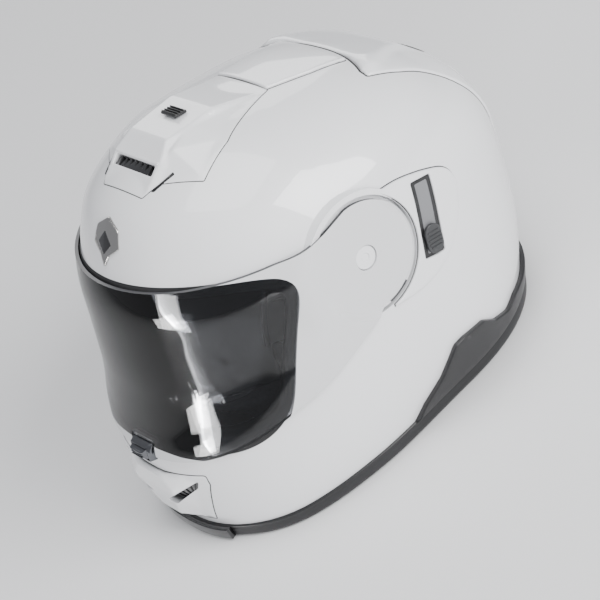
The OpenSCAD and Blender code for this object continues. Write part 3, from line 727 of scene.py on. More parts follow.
SNAP = material("snap_plastic", (0.75, 0.75, 0.73), 0.4, vary=0.04, bump=[("noise", 1800, 0.00002)])
STEEL = material("dark_steel", (0.42, 0.43, 0.45), 0.3, metal=1.0, vary=0.06, vary_scale=60,
                 bump=[("X", 1400, 0.000006)], rough_vary=0.25)
LATCH = material("latch_chrome", (0.16, 0.165, 0.175), 0.22, metal=1.0, vary=0.08, bump=[("noise", 1200, 0.00001)])
CHROME = material("badge_chrome", (0.50, 0.49, 0.475), 0.12, metal=1.0, vary=0.06, bump=[("noise", 700, 0.00001)])
FOAM = material("bead_foam", (0.022, 0.022, 0.024), 0.75, vary=0.35, vary_scale=220,
                bump=[("cells", 330, 0.0006)])
LINING = material("lining_knit", (0.035, 0.036, 0.040), 0.92, sheen=0.35, sheen_tint=(0.6, 0.62, 0.7), vary=0.25,
                  vary_scale=400, bump=[("X", 520, 0.0002), ("Z", 520, 0.0002)])
LINING_LIGHT = material("lining_brushed", (0.075, 0.077, 0.085), 0.95, sheen=0.5, sheen_tint=(0.7, 0.72, 0.8),
                        vary=0.2, vary_scale=500, bump=[("noise", 900, 0.0003)])
NECK = material("neck_fabric", (0.028, 0.028, 0.03), 0.85, sheen=0.3, vary=0.2, vary_scale=300,
                bump=[("X", 700, 0.00015), ("Y", 700, 0.00015)])
CURTAIN = material("curtain_cloth", (0.02, 0.02, 0.022), 0.9, sheen=0.2, vary=0.25, vary_scale=300,
                   bump=[("X", 900, 0.00012), ("Y", 900, 0.00012)])
WEBBING = material("webbing", (0.018, 0.018, 0.02), 0.7, sheen=0.25, vary=0.3, vary_scale=250,
                   bump=[("Y", 330, 0.0003), ("X", 240, 0.0002)])
ORANGE = material("tongue_plastic", (0.72, 0.30, 0.02), 0.4, vary=0.06, bump=[("noise", 1500, 0.00002)])
RED = material("lever_plastic", (0.55, 0.035, 0.025), 0.35, vary=0.06, bump=[("noise", 1500, 0.00002)])
THREAD = material("thread", (0.12, 0.12, 0.125), 0.8, vary=0.2, vary_scale=600, bump=[("X", 2200, 0.0001)])
CLEAR = clear("clear_visor", (0.72, 0.725, 0.74))
CLEAR_SIDE = clear("clear_visor_side", (0.93, 0.935, 0.945), veil=0.86, veil_colour=(0.74, 0.745, 0.76))
# painted shade: the near-black of the visor's edge faces stands in for the shadow line along the visor's edges
VISOR_EDGE_SHADE = material("visor_edge_painted_shade", (0.05, 0.051, 0.055), 0.3, vary=0.05)
INSERT = clear("insert_clear", (0.98, 0.98, 0.985))
SMOKE = clear("sun_smoke", (0.055, 0.055, 0.06), veil=0.03, veil_colour=(0.05, 0.05, 0.055))
# painted shade: this near-black is for the lines round fitted covers, standing in for the shadow in their gaps
GAP_SHADE = material("gap_painted_shade", (0.02, 0.02, 0.022), 0.8, vary=0.2)

# ------------------------------------------------------------------ camera, floor and light
PIVOT = Vector((0, SHIFT / 1000, FLOOR / 1000))
az, el, roll = (math.radians(v) for v in (61.96, 24.79, 17.94))
back = Vector((math.sin(az) * math.cos(el), -math.cos(az) * math.cos(el), math.sin(el)))
right = Vector((math.cos(az), math.sin(az), 0))
up = back.cross(right)
r_right = right * math.cos(roll) - up * math.sin(roll)
r_up = up * math.cos(roll) + right * math.sin(roll)
back, r_right, r_up = (Matrix.Rotation(-LEAN, 3, "X") @ v for v in (back, r_right, r_up))
CAMERA_FAR = 1.5
AIM_RIGHT, AIM_DOWN = 0.0274457, 0.0555027
LENS_MM = 132.48
place = PIVOT + back * CAMERA_FAR
aim = PIVOT + r_right * AIM_RIGHT - r_up * AIM_DOWN
look = (place - aim).normalized()
x_axis = r_up.cross(look).normalized()
y_axis = look.cross(x_axis)
cam_data = bpy.data.cameras.new("camera")
cam_data.lens = LENS_MM
cam_data.sensor_width = 36
cam = bpy.data.objects.new("camera", cam_data)
bpy.context.scene.collection.objects.link(cam)
cam.matrix_world = Matrix.Translation(place) @ Matrix((x_axis, y_axis, look)).transposed().to_4x4()
cam_data.clip_start, cam_data.clip_end = 0.05, 50
bpy.context.scene.camera = cam


def area_light(name, at, towards, size, power_w, colour=(1, 1, 1), glossy_only=False, seen=True):
    data = bpy.data.lights.new(name, "AREA")
    data.shape = "RECTANGLE"
    data.size, data.size_y = size
    data.energy = power_w
    data.color = colour
    o = bpy.data.objects.new(name, data)
    bpy.context.scene.collection.objects.link(o)
    o.location = at
    o.rotation_mode = "QUATERNION"
    o.rotation_quaternion = (Vector(at) - Vector(towards)).to_track_quat("Z", "Y")
    o.visible_camera = False
    if glossy_only:
        o.visible_diffuse = False
    if not seen:
        o.visible_glossy = False
    return o


FLOOR_MAT = material("floor_paper", (0.78, 0.78, 0.785), 0.7, vary=0.015, vary_scale=3, bump=[("noise", 300, 0.0001)])
s = 4.0
floor_mesh = bpy.data.meshes.new("floor")
floor_mesh.from_pydata([(-s, -s, -0.0004), (s, -s, -0.0004), (s, s, -0.0004), (-s, s, -0.0004)], [], [(0, 1, 2, 3)])
floor_mesh.materials.append(FLOOR_MAT)
floor = bpy.data.objects.new("floor", floor_mesh)
bpy.context.scene.collection.objects.link(floor)

sky = bpy.data.worlds.new("studio")
sky.use_nodes = True
sky.node_tree.nodes["Background"].inputs[0].default_value = (0.92, 0.94, 1.0, 1)
sky.node_tree.nodes["Background"].inputs[1].default_value = 0.45
bpy.context.scene.world = sky
area_light("key", (1.7, 0.7, 1.5), (0, 0, 0.12), (1.3, 1.3), 66)
area_light("front", (-0.4, -2.3, 1.5), (0, 0, 0.12), (1.2, 1.2), 16, seen=False)
area_light("side", (2.2, -1.1, 0.6), (0, 0, 0.12), (1.0, 1.0), 34, seen=False)
area_light("top", (0.2, 0.1, 2.4), (0, 0, 0.12), (1.4, 1.4), 20)
area_light("back_fill", (-1.8, 1.2, 1.2), (0, 0, 0.12), (1.2, 1.2), 12)

# ------------------------------------------------------------------ the shell
RECESS = 40.6
HUB_FLOOR = 115.0


def at_level(z, inset, count=360, middle=11.0):
    """The outline of the surface at a height of the standing frame."""
    a = np.radians(np.arange(count) * 360.0 / count)
    d = stand(np.stack([np.cos(a), np.sin(a), np.zeros(count)], -1))
    base = np.broadcast_to(stand(np.array([0, middle, z])), d.shape)
    return cast(base, d, inset)


step = 1.5
outer = skin("shell", step)
source = outer.copy()
source.data = outer.data.copy()
bpy.context.scene.collection.objects.link(source)
inner = skin("inner", 3.0, 4.0)
inner_source = inner.copy()
inner_source.data = inner.data.copy()
bpy.context.scene.collection.objects.link(inner_source)
boolean(outer, inner)
for side in (1, -1):
    pad = prism("pad", circle(44.6), side * 111, side * 119.5, (1, 2, 0))
    boolean(outer, pad, "UNION")
    boolean(outer, prism("recess", circle(RECESS, 144), side * HUB_FLOOR, side * 150, (1, 2, 0)))
boolean(outer, cone("eye", 0.0))
boolean(outer, prism("below", [(-300, -300), (300, -300), (300, 300), (-300, 300)], RIM - 200, RIM, (0, 1, 2),
                     True))
borrow_normals(outer, [source, inner_source])
discard(source, inner_source)
dress(coat(outer, WHITE), "shell", ["outer_shell"])

# the eyeport gasket: a moulded lip over the edge of the opening
profile = [(1.2, -0.1), (1.16, 0.22), (0.95, 0.45), (0.55, 0.55), (-0.2, 0.55), (-0.6, 0.4), (-0.85, 0.15),
           (-1.15, 0.15), (-1.5, 0.45), (-1.9, 0.4), (-2.15, 0.1), (-2.2, -0.6), (-2.2, -7.0), (-0.15, -7.0),
           (-0.1, -4.3), (-0.1, -0.1)]
spots = even_eyeport(300)
rows = np.stack([along(eyeport(spots, g), -l) for g, l in profile], 1)
lattice("eyeport_gasket_lip", rows, RUBBER, body="shell", replaces=["eyeport_gasket"], slot="rubber_black")

# the rubber edge trim round the rim
trim = [(0.2, RIM + 0.15), (-1.2, RIM + 0.1), (-1.75, RIM - 0.7), (-1.8, RIM - 1.6), (-1.45, RIM - 2.4),
        (-1.8, RIM - 3.2), (-1.8, RIM - 7.2), (-1.2, RIM - 8.9), (0.4, RIM - 9.9), (4.6, RIM - 9.9),
        (6.4, RIM - 9.2), (7.0, RIM - 7.6), (7.0, RIM + 2.5), (6.2, RIM + 3.2), (4.3, RIM + 3.2), (4.05, RIM + 0.15)]
rows = []
base = at_level(RIM, 0.0)
out_dir = base - stand(np.array([0, 11.0, RIM]))
out_dir /= np.linalg.norm(out_dir, axis=1, keepdims=True)
for inset, z in trim:
    rows.append(base - out_dir * inset + stand(np.array([0, 0, z - RIM])))
lattice("rim_edge_trim", np.stack(rows, 1), BLACK, body="shell", replaces=["lower_edge_trim"], slot="rubber_black")

# ------------------------------------------------------------------ the visor
GAP, WALL, HUB = 1.6, 2.4, 38.0
HUB_FACE = 118.7
LATCH_W, LATCH_H, LATCH_LOW = 24.0, 14.0, -113.0


def visor_points(lift):
    def points(a, o):
        p = surface(a, o, -GAP - lift)
        rho = np.hypot(p[..., 1], p[..., 2])
        s = np.clip((rho - HUB) / 26.0, 0, 1)
        s = s * s * (3 - 2 * s)
        flat = HUB_FACE + lift
        x = np.where(rho < HUB + 0.8, flat, np.maximum(np.abs(p[..., 0]), flat * (1 - s) + np.abs(p[..., 0]) * s))
        p[..., 0] = np.sign(p[..., 0]) * x
        return p
    return points


def visor_outline():
    lower = spline([(0, -HUB), (24, -50.5), (52, -66), (82, -79), (118, -98), (165, -121)], 3, False)
    upper = spline([(165, 15.5), (118, 17.2), (93, 19.5), (69, 22), (44, 25.5), (26, 30.2), (6, HUB - 0.5)], 3, False)
    arc = [(HUB * math.cos(t), HUB * math.sin(t)) for t in np.radians(np.arange(85, 269, 3))]
    return np.concatenate([lower[1:], upper, np.array(arc)])


vis = skin("visor_shell", 1.5, points=visor_points(WALL))
vis_in = skin("visor_in", 1.5, points=visor_points(0.0))
src = [vis.copy(), vis_in.copy()]
for s_ in src:
    s_.data = s_.data.copy()
    bpy.context.scene.collection.objects.link(s_)
boolean(vis, vis_in)
boolean(vis, prism("area", visor_outline(), -300, 300, (1, 2, 0)), "INTERSECT")
notch = rounded([(-LATCH_W / 2 - 2.5, LATCH_LOW - 20), (LATCH_W / 2 + 2.5, LATCH_LOW - 20),
                 (LATCH_W / 2 + 2.5, LATCH_LOW + LATCH_H + 2.5), (-LATCH_W / 2 - 2.5, LATCH_LOW + LATCH_H + 2.5)], 3)
boolean(vis, prism("notch", notch, 80, 170, (0, 2, 1)))
for side in (1, -1):
    boolean(vis, prism("bore", circle(8.4, 48), side * 110, side * 150, (1, 2, 0)))


def beyond_window(p):
    """Above nought outside the gasket's window."""
    d = p / np.maximum(np.linalg.norm(p, axis=-1, keepdims=True), 1e-9)
    e = np.degrees(np.arcsin(np.clip(d[..., 2], -1, 1))) + 13.5
    w = np.degrees(np.arctan2(np.abs(d[..., 0]), d[..., 1]))
    return (np.abs(e) / 22.7) ** 6 + (w / np.maximum(61.2 + 0.38 * e, 1)) ** 6 - 1


split_along(vis, beyond_window)
borrow_normals(vis, src)
discard(*src)
vis.data.materials.clear()
for m in (CLEAR, CLEAR_SIDE, VISOR_EDGE_SHADE):
    vis.data.materials.append(m)
centres = head([p.center for p in vis.data.polygons])
facing = np.array([tuple(p.normal) for p in vis.data.polygons]) * (1, -1, 1)
facing = stand(facing)
# the visor's edge faces get the near-black edge material, painted shade for the shadow line round the visor
rim_face = np.abs((facing * normals(centres + 1e-4)).sum(1)) < 0.6
rim_face &= np.hypot(centres[:, 1], centres[:, 2]) > 12
idx = np.where(rim_face, 2, np.where(beyond_window(centres) > 0, 1, 0))
vis.data.polygons.foreach_set("material_index", idx)
dress(vis, "visor", ["visor_shield"])


def mirrored_ray(sideways, upwards):
    """Where a camera ray of these slopes meets the visor, and its mirrored direction."""
    out = (-look + x_axis * sideways + y_axis * upwards).normalized()
    tree = BVHTree.FromPolygons([v.co for v in vis.data.vertices], [tuple(q.vertices) for q in vis.data.polygons])
    at, _, _, _ = tree.ray_cast(place, out, 5.0)
    n = Vector(stand_out(normals(head(np.array(at))[None])[0]))
    return at, (out - 2 * out.dot(n) * n).normalized()


def stand_out(v):
    """A head frame direction as a direction of the frame."""
    return (v[0], -(v[1] * COS - v[2] * SIN), v[1] * SIN + v[2] * COS)


# a tall strip light in sections, seen only as the bright band down the visor
STRIP_SLOPES = [(-0.061141, 0.001812), (-0.057971, -0.011322), (-0.054348, -0.023551), (-0.051178, -0.035326),
                (-0.048007, -0.047101), (-0.045290, -0.058877), (-0.042572, -0.070652)]
rays = [mirrored_ray(*slopes) for slopes in STRIP_SLOPES]
tips = [at + d * 1.3 for at, d in rays]
for i in range(len(tips) - 1):
    at = (rays[i][0] + rays[i + 1][0]) / 2
    middle = (tips[i] + tips[i + 1]) / 2
    tall = tips[i] - tips[i + 1]
    z_out = (middle - at).normalized()
    y_out = (tall - z_out * tall.dot(z_out)).normalized()
    light = area_light("visor_strip_%d" % i, middle, at, (0.34, tall.length * 1.04), 34 * 0.34 * tall.length,
                       glossy_only=True)
    light.rotation_quaternion = Matrix((y_out.cross(z_out), y_out, z_out)).transposed().to_quaternion()

# ------------------------------------------------------------------ panels on the shell
side_outer = spline([(-22, 35.5), (-42, 35), (-64, 30), (-80, 23), (-86, 12), (-83, -2), (-77, -14), (-61, -31),
                     (-38, -40), (-10, -41.5)], 2.5, False)
hub_arc = np.array([(41.4 * math.cos(t), 41.4 * math.sin(t)) for t in np.radians(np.arange(-104, -239, -3))])
cover = np.concatenate([side_outer, hub_arc])
slide = np.array([-0.12, 0.993])
low = np.array([-52.0, -13.0])
cross = np.array([0.993, 0.12])


def slot_box(half, t0, t1, r):
    return rounded([low + slide * t0 - cross * half, low + slide * t0 + cross * half,
                    low + slide * t1 + cross * half, low + slide * t1 - cross * half], r)


slot = dense(slot_box(8.8, -12, 41, 1.6), 3)
panel("left_side_cover_skin", SIDE, cover, WHITE, 1.8, holes=[slot], replaces=["left_side_cover"], slot="shell_white",
      pitch=2.6)
panel("right_side_cover_skin", SIDE, cover, WHITE, 1.8, mirror=True, replaces=["right_side_cover"],
      slot="shell_white", pitch=2.6)
panel("slider_track_plate", SIDE, dense(slot_box(8.6, -11.8, 40.8, 1.4), 3), BLACK, 0.7, edge=0.2, pitch=2.5,
      replaces=["slider_track"], slot="plastic_grey")

rim_line = [(f, -138.3 - 0.2493 * f) for f in (-200, -8)]
diffuser = dense(rounded([(*rim_line[1], 0), (-17, -126, 8), (-33, -114, 6), (-41, -104, 4), (-48, -95, 5),
                          (-56, -93, 6), (-76, -92, 6), (-88, -99, 6), (-104, -102, 8), (-116, -97, 8),
                          (-134, -95, 8), (-200, -80, 0), (*rim_line[0], 0)], 4), 3)


def on_surface(points, x_limit=0.0):
    return level(np.stack([np.full(len(points), x_limit), points[:, 0], points[:, 1]], 1)) < -0.002


rear = diffuser
rear = rear[on_surface(rear)]
for side in (False, True):
    panel("rear_diffuser_" + ("right" if side else "left"), SIDE, rear, BLACK, 3.6, mirror=side, pitch=3.5, edge=1.2,
          replaces=["rear_diffuser"], slot="plastic_black")

# ------------------------------------------------------------------ tools for the smaller pieces
def crisp(obj, angle=32):
    """Smooth shading with edges kept where faces turn by more than the angle."""
    bm = bmesh.new()
    bm.from_mesh(obj.data)
    for f in bm.faces:
        f.smooth = True
    for e in bm.edges:
        e.smooth = len(e.link_faces) == 2 and e.calc_face_angle(0) < math.radians(angle)
    bm.to_mesh(obj.data)
    bm.free()
    return obj


def gem(name, points, mat, bevel=0.6, segments=3, upright=False, body="shell", replaces=(), slot=None, link=True):
    """The convex hull of points with its edges rounded."""
    p = np.asarray(points, float)
    mesh = bpy.data.meshes.new(name)
    bm = bmesh.new()
    for v in world(stand(p) if upright else p):
        bm.verts.new(tuple(v))
    out = bmesh.ops.convex_hull(bm, input=bm.verts)
    dead = [g for g in out["geom_interior"] + out["geom_unused"] if isinstance(g, bmesh.types.BMVert)]
    bmesh.ops.delete(bm, geom=list(set(dead)), context="VERTS")
    bmesh.ops.dissolve_limit(bm, angle_limit=0.03, verts=bm.verts[:], edges=bm.edges[:])
    bmesh.ops.bevel(bm, geom=bm.edges[:], offset=bevel / 1000, segments=segments, profile=0.6, affect="EDGES",
                    clamp_overlap=True)
    bmesh.ops.recalc_face_normals(bm, faces=bm.faces[:])
    bm.to_mesh(mesh)
    bm.free()
    obj = bpy.data.objects.new(name, mesh)
    bpy.context.scene.collection.objects.link(obj)
    mesh.materials.append(mat)
    crisp(obj, 40)
    return dress(obj, body, replaces) if link else obj


def loose(*args, **kw):
    """A gem that is about to be joined into a piece."""
    return gem(*args, link=False, **kw)


def box_points(x, f, u):
    return [(a, b, c) for a in x for b in f for c in u]


def slab(name, outline, low, high, axes, mat, edge=0.6, holes=(), pitch=4.0, upright=False, body="shell",
         replaces=(), slot=None, link=True, mirror=False):
    """A flat plate with rounded edges. axes names the coordinates of the outline, then the thickness."""
    loops = [ccw(outline)] + [ccw(h)[::-1] for h in holes]
    steps = [(d, high - edge * drop) for d, drop in EDGE[::-1]] + [(d, low + edge * drop) for d, drop in EDGE]
    tops = [inward(l, edge) for l in loops]
    v, f, back = fill(tops, pitch)
    flat = [(v, high), (v, low)]
    faces = [tuple(t) for t in f] + [tuple(t + len(v))[::-1] for t in f]
    total, start = 2 * len(v), 0
    for l in loops:
        m = len(l)
        previous = [back[start + i] for i in range(m)]
        for k, (d, z) in enumerate(steps[1:-1]):
            flat.append((inward(l, edge * d), z))
            now = list(range(total, total + m))
            total += m
            faces += [(previous[i], previous[(i + 1) % m], now[(i + 1) % m], now[i]) for i in range(m)]
            previous = now
        now = [back[start + i] + len(v) for i in range(m)]
        faces += [(previous[i], previous[(i + 1) % m], now[(i + 1) % m], now[i]) for i in range(m)]
        start += m
    p = np.zeros((total, 3))
    p[:, axes[:2]] = np.concatenate([a for a, _ in flat])
    p[:, axes[2]] = np.concatenate([np.full(len(a), z) for a, z in flat])
    if mirror:
        p = mirrored(p)
    return make(name, stand(p) if upright else p, faces, mat, body if link else None, replaces, slot)


def turned(name, base, axis, profile, mat, n=72, ring=False, **kw):
    """A turned piece: a profile of (radius, height) spun round an axis."""
    base, axis = np.asarray(base, float), np.asarray(axis, float)
    b = np.cross(axis, (0.31, 0.52, 0.8))
    b /= np.linalg.norm(b)
    c = np.cross(axis, b)
    t = np.arange(n) * 2 * math.pi / n
    spoke = np.cos(t)[:, None] * b + np.sin(t)[:, None] * c
    rows = np.stack([base + axis * h + spoke * r for r, h in profile])
    return crisp(lattice(name, rows, mat, ring, True, not ring, **kw), 35)


def hull_tree(points):
    bm = bmesh.new()
    for p in points:
        bm.verts.new(p)
    bmesh.ops.convex_hull(bm, input=bm.verts)
    bmesh.ops.triangulate(bm, faces=bm.faces[:])
    tree = BVHTree.FromBMesh(bm)
    bm.free()
    return tree


def hull_lift(chart, sets, soft=1.4, least=0.35):
    """The height over the surface of convex bodies, with their creases a little rounded."""
    trees = [hull_tree(s) for s in sets]
    rings = [(0.0, 0.0)] + [(soft * math.cos(a), soft * math.sin(a)) for a in np.radians(np.arange(0, 360, 60))]

    def lift(q):
        total = np.zeros(len(q))
        for r in rings:
            base = chart(np.asarray(q, float) + r, 0.0)
            for i, (p, n) in enumerate(zip(base, normals(base))):
                best = least
                for t in trees:
                    d = t.ray_cast(Vector(p + n * 60), Vector(-n), 60)[3]
                    if d is not None:
                        best = max(best, 60 - d)
                total[i] += best
        return total / len(rings)
    return lift


def fine(points, radius=2.0, pitch=2.5):
    return dense(rounded(points, radius), pitch)


def both(points):
    return list(points) + [(-x, *rest) for x, *rest in reversed(points)]


def stitches(name, points, outs, mat, length=2.6, width=0.7, every=4.2, **kw):
    """A row of raised thread stitches along a path."""
    p = np.asarray(points, float)
    o = np.asarray(outs, float)
    s = np.concatenate([[0], np.cumsum(np.linalg.norm(np.diff(p, axis=0), axis=1))])
    verts, faces = [], []
    for at in np.arange(every / 2, s[-1], every):
        c = np.array([np.interp(at, s, p[:, k]) for k in range(3)])
        e = np.array([np.interp(min(at + 0.5, s[-1]), s, p[:, k]) for k in range(3)])
        n = np.array([np.interp(at, s, o[:, k]) for k in range(3)])
        t = e - c
        if np.linalg.norm(t) < 1e-6:
            continue
        t /= np.linalg.norm(t)
        n = n - t * (n @ t)
        n /= np.linalg.norm(n)
        w = np.cross(t, n)
        first = len(verts)
        for k, (z, r) in enumerate([(-0.5, 0.35), (-0.3, 0.9), (0.3, 0.9), (0.5, 0.35)]):
            for a in np.radians(np.arange(0, 360, 60)):
                verts.append(c + t * length * z + (w * math.cos(a) + n * math.sin(a)) * width * 0.5 * r)
        for k in range(3):
            for j in range(6):
                l = (j + 1) % 6
                faces.append((first + 6 * k + j, first + 6 * k + l, first + 6 * k + 6 + l, first + 6 * k + 6 + j))
        faces += [tuple(range(first, first + 6)), tuple(range(first + 18, first + 24))]
    return make(name, np.array(verts), faces, mat, **kw)


# ------------------------------------------------------------------ vents, strip and spoiler
BROW_SETS = [
    [(-27, 87, 70), (27, 87, 70), (-30, 72, 84), (30, 72, 84), (-24, 58, 95), (24, 58, 95), (-26, 20, 100),
     (26, 20, 100), (-30, -18, 94), (30, -18, 94), (-34, 20, 84), (34, 20, 84), (-26, 60, 70), (26, 60, 70)],
    [(20, 80, 76), (56, 59, 75.5), (49, 30, 88), (31, -2, 95), (24, 40, 97), (31, 60, 91), (30, 40, 75)]]
BROW_SETS.append([(-x, f, u) for x, f, u in BROW_SETS[1]])
brow_lift = hull_lift(BROW, BROW_SETS, 0.9)
brow_outline = fine(both([(24, 47), (31, 34), (58, 19, 1), (52, -12), (38, -42), (30, -61)])[::-1], 2.5, 2.2)
mouth = fine([(-24, 25.2), (24, 25.2), (24, 32.4), (-24, 32.4)], 1.6, 2)
panel("brow_vent_housing_skin", BROW, brow_outline, WHITE, brow_lift, pitch=1.9, edge=0.4,
      holes=[mouth], replaces=["brow_vent_housing"], slot="shell_white")
throat = [panel("throat", BROW, inward(ccw(mouth), 0.1), GLOSS_BLACK, lambda q: np.maximum(brow_lift(q) - 4.0, 0.5),
                pitch=3, edge=0.05, link=False)]
for x in (-18, -12, -6, 0, 6, 12, 18):
    bar = dense([(x - 0.6, 25.6), (x + 0.6, 25.6), (x + 0.6, 32), (x - 0.6, 32)], 1.5)
    throat.append(panel("vane", BROW, bar, BLACK, lambda q: brow_lift(q) - 1.2, pitch=2, edge=0.15, link=False))
join("brow_intake_vanes", throat, "shell", ())


def over(lift, extra):
    return lambda q: lift(q) + extra


# painted shade: gloss black sheets laid on the brow vent beside its mouth stand in for the shadowed intake openings
for side in (False, True):
    gill = fine([(28.6, 41), (30.6, 40), (37.5, 24), (35.6, 23)], 0.8, 1.2)
    panel("brow_gill_shade_" + ("right" if side else "left"), BROW, gill, GLOSS_BLACK, over(brow_lift, 0.28), pitch=1.4,
          edge=0.15, mirror=side, slot="plastic_black")
lips = fine(both([(25.5, 24.6), (26.5, 22.6)]), 0.6, 1.5)
panel("brow_lip", BROW, lips, WHITE, over(brow_lift, 0.5), pitch=1.6, edge=0.3, slot="shell_white")

button = [loose("plate", box_points((-8.8, 8.8), (31.2, 40.8), (98.6, 100.3)), BLACK, 0.5)]
for k in range(4):
    f0 = 32.4 + 2.3 * k
    section = ((0, 100), (1.3, 100), (0.9, 101.4), (0.4, 101.4))
    button.append(loose("rib", [(x, f0 + df, u) for x in (-8, 8) for df, u in section], BLACK, 0.2, 2))
join("brow_vent_button", button, "brow_vent", ["brow_vent_slider"])

strip = fine(both([(29, -19), (36, -50), (38, -78)])[::-1], 1.5, 2.5)
panel("crown_strip_skin", TOP, strip, WHITE, lambda q: 2.5 - 0.5 * np.clip((q[:, 1] + 78) / 59, 0, 1), pitch=2.6,
      edge=1.0, replaces=["crown_strip"], slot="shell_white")

HINDER = Chart((1, 0, 0), (0, 0.5, 0.866), (0, -0.866, 0.5))
spoiler_outline = fine(both([(56, 36, 2), (63, 34, 2), (66, 16), (66, -30), (62, -66), (52, -100), (40, -112)])[::-1],
                       3, 3)
spoiler_sets = [[(-66, -78, 78), (66, -78, 78), (-60, -78, 92), (60, -78, 92), (-34, -118, 84), (34, -118, 84),
                 (-28, -150, 58), (28, -150, 58), (-66, -120, 40), (66, -120, 40), (-50, -170, 10), (50, -170, 10),
                 (-20, -178, 30), (20, -178, 30), (-40, -168, -34), (40, -168, -34)]]
spoil = hull_lift(HINDER, spoiler_sets, 2.0, 1.6)
exhaust_hole = fine([(-25, -27), (25, -27), (25, -17), (-25, -17)], 2, 2)
panel("rear_spoiler_skin", HINDER, spoiler_outline, WHITE, lambda q: np.minimum(spoil(q), 5.2), pitch=3.2, edge=1.1,
      holes=[exhaust_hole], replaces=["rear_spoiler"], slot="shell_white")
grille = [panel("grille", HINDER, inward(fine([(-25, -27), (25, -27), (25, -17), (-25, -17)], 2, 2), 0.15), BLACK, 0.8,
                pitch=3, edge=0.2, link=False)]
for x in np.arange(-20, 21, 5):
    grille.append(panel("vane", HINDER, fine([(x - 0.7, -26.4), (x + 0.7, -26.4), (x + 0.7, -17.6), (x - 0.7, -17.6)],
                                             0.4, 2), BLACK, 3.0, depth=0.5, pitch=3, edge=0.3, link=False))
join("rear_exhaust_vanes", grille, "shell", ["rear_exhaust_grille"])

# ------------------------------------------------------------------ chin
CHIN_SET = [(-14, 142, -121), (14, 142, -121), (-55, 125, -117), (55, 125, -117), (-34, 118, -162), (34, 118, -162),
            (-12, 134, -162), (12, 134, -162), (-26, 141, -136), (26, 141, -136), (0, 90, -124), (0, 90, -162)]
chin_lift = hull_lift(FRONT, [CHIN_SET], 1.0, 0.3)
chin_outline = fine(both([(15, -120.5), (54, -116.5), (54, -124), (37, -161), (14, -163)])[::-1], 2, 2.2)
gill_loop = rounded([(8, -145), (47, -121.5), (43, -128.5), (20, -145)], 1.0)
panel("chin_vent_cover_skin", FRONT, chin_outline, WHITE, chin_lift, pitch=2.0, edge=0.3,
      holes=[dense(gill_loop * (m, 1), 1.5) for m in (1, -1)], replaces=["chin_vent_cover"], slot="shell_white")
gills = []
for m in (1, -1):
    inner_loop = dense(ccw(gill_loop * (m, 1)), 1.5)
    gills.append(panel("grille", FRONT, inner_loop, GLOSS_BLACK, 0.35, depth=-1.2, pitch=2, edge=0.15, link=False))
    for t in (0.25, 0.42, 0.59, 0.76, 0.9):
        a = np.array([8, -145]) * (1 - t) + np.array([47, -121.5]) * t
        b = np.array([20, -145]) * (1 - t) + np.array([43, -128.5]) * t
        w = np.array([0.45, 0.0])
        loop = dense(np.array([(a - w), (a + w), (b + w), (b - w)]) * (m, 1), 1.5)
        gills.append(panel("vane", FRONT, loop, BLACK, 1.0, depth=0.1, pitch=2, edge=0.15, link=False))
join("chin_vent_vanes", gills, "shell", ["chin_vent_grilles"])

outer_edge = at_level(RIM, -1.85)
far = at_level(RIM, -5.8)
flat_out = np.stack([outer_edge[:, 0], outer_edge[:, 1] * COS - outer_edge[:, 2] * SIN], 1)
flat_far = np.stack([far[:, 0], far[:, 1] * COS - far[:, 2] * SIN], 1)
front_part = [i for i in range(len(flat_out)) if abs(flat_far[i, 0]) < 45 and flat_far[i, 1] > 60]
front_part.sort(key=lambda i: flat_far[i, 0])
plate_loop = np.concatenate([flat_far[front_part], flat_out[front_part][::-1]])
slab("chin_under_plate_skin", dense(plate_loop, 2.5), RIM - 9.0, RIM - 0.2, (0, 1, 2), GLOSS_BLACK, 0.8, pitch=2.5,
     upright=True, replaces=["chin_under_plate"], slot="plastic_black")

# ------------------------------------------------------------------ visor lock
lock = [loose("brow", [(x, f, u) for x, f, u in (
    (-12, 136, -99), (12, 136, -99), (-12, 131, -113), (12, 131, -113), (-9, 141.9, -100.5), (9, 141.9, -100.5),
    (-10.5, 141.6, -111.5), (10.5, 141.6, -111.5), (-11.5, 140.5, -105), (11.5, 140.5, -105))], LATCH, 0.5)]
lock_body = join("visor_lock_housing", lock, None)
boolean(lock_body, prism("well", rounded([(-10.1, -111.1), (10.1, -111.1), (10.1, -100.9), (-10.1, -100.9)], 0.8),
                         139.0, 170, (0, 2, 1)))
dress(crisp(coat(lock_body, LATCH), 25), "shell", ["latch_housing"])
press = [loose("face", [(-9.4, 139.6, -101.6), (9.4, 139.6, -101.6), (-9.4, 139.6, -110.4), (9.4, 139.6, -110.4),
                      (-7.6, 144.4, -103.4), (7.6, 144.4, -103.4), (-8, 143.6, -108.6), (8, 143.6, -108.6),
                      (0, 144.9, -104.6)], LATCH, 0.35)]
for u in (-103.6, -105.6, -107.6):
    section = ((143.5, -0.5), (143.5, 0.5), (145, -0.15), (145, 0.15))
    press.append(loose("rib", [(x, f, u + d) for x in (-6.6, 6.6) for f, d in section], LATCH, 0.12, 2))
join("visor_lock_button", press, "visor_lock", ["latch_button"])

# ------------------------------------------------------------------ badge, knob, hubs, pins
badge_loop = fine([(-15, 40), (-5, 34.5, 1), (0, 27), (5, 34.5, 1), (15, 40), (12.5, 51, 3), (0, 57, 4),
                   (-12.5, 51, 3)], 0.9, 1.4)
ridge = lambda q: 1.9 - 0.05 * np.abs(q[:, 0]) - 0.025 * np.abs(q[:, 1] - 43)
panel("forehead_badge_plate", FRONT, badge_loop, CHROME, ridge, pitch=1.6, edge=0.5, replaces=["forehead_badge"],
      slot="badge_chrome")
panel("forehead_badge_inner", FRONT, fine([(-8, 42), (0, 35), (8, 42), (0, 50)], 1.2, 1.2), GLOSS_BLACK,
      over(ridge, 0.22), pitch=1.4, edge=0.2, slot="plastic_black")

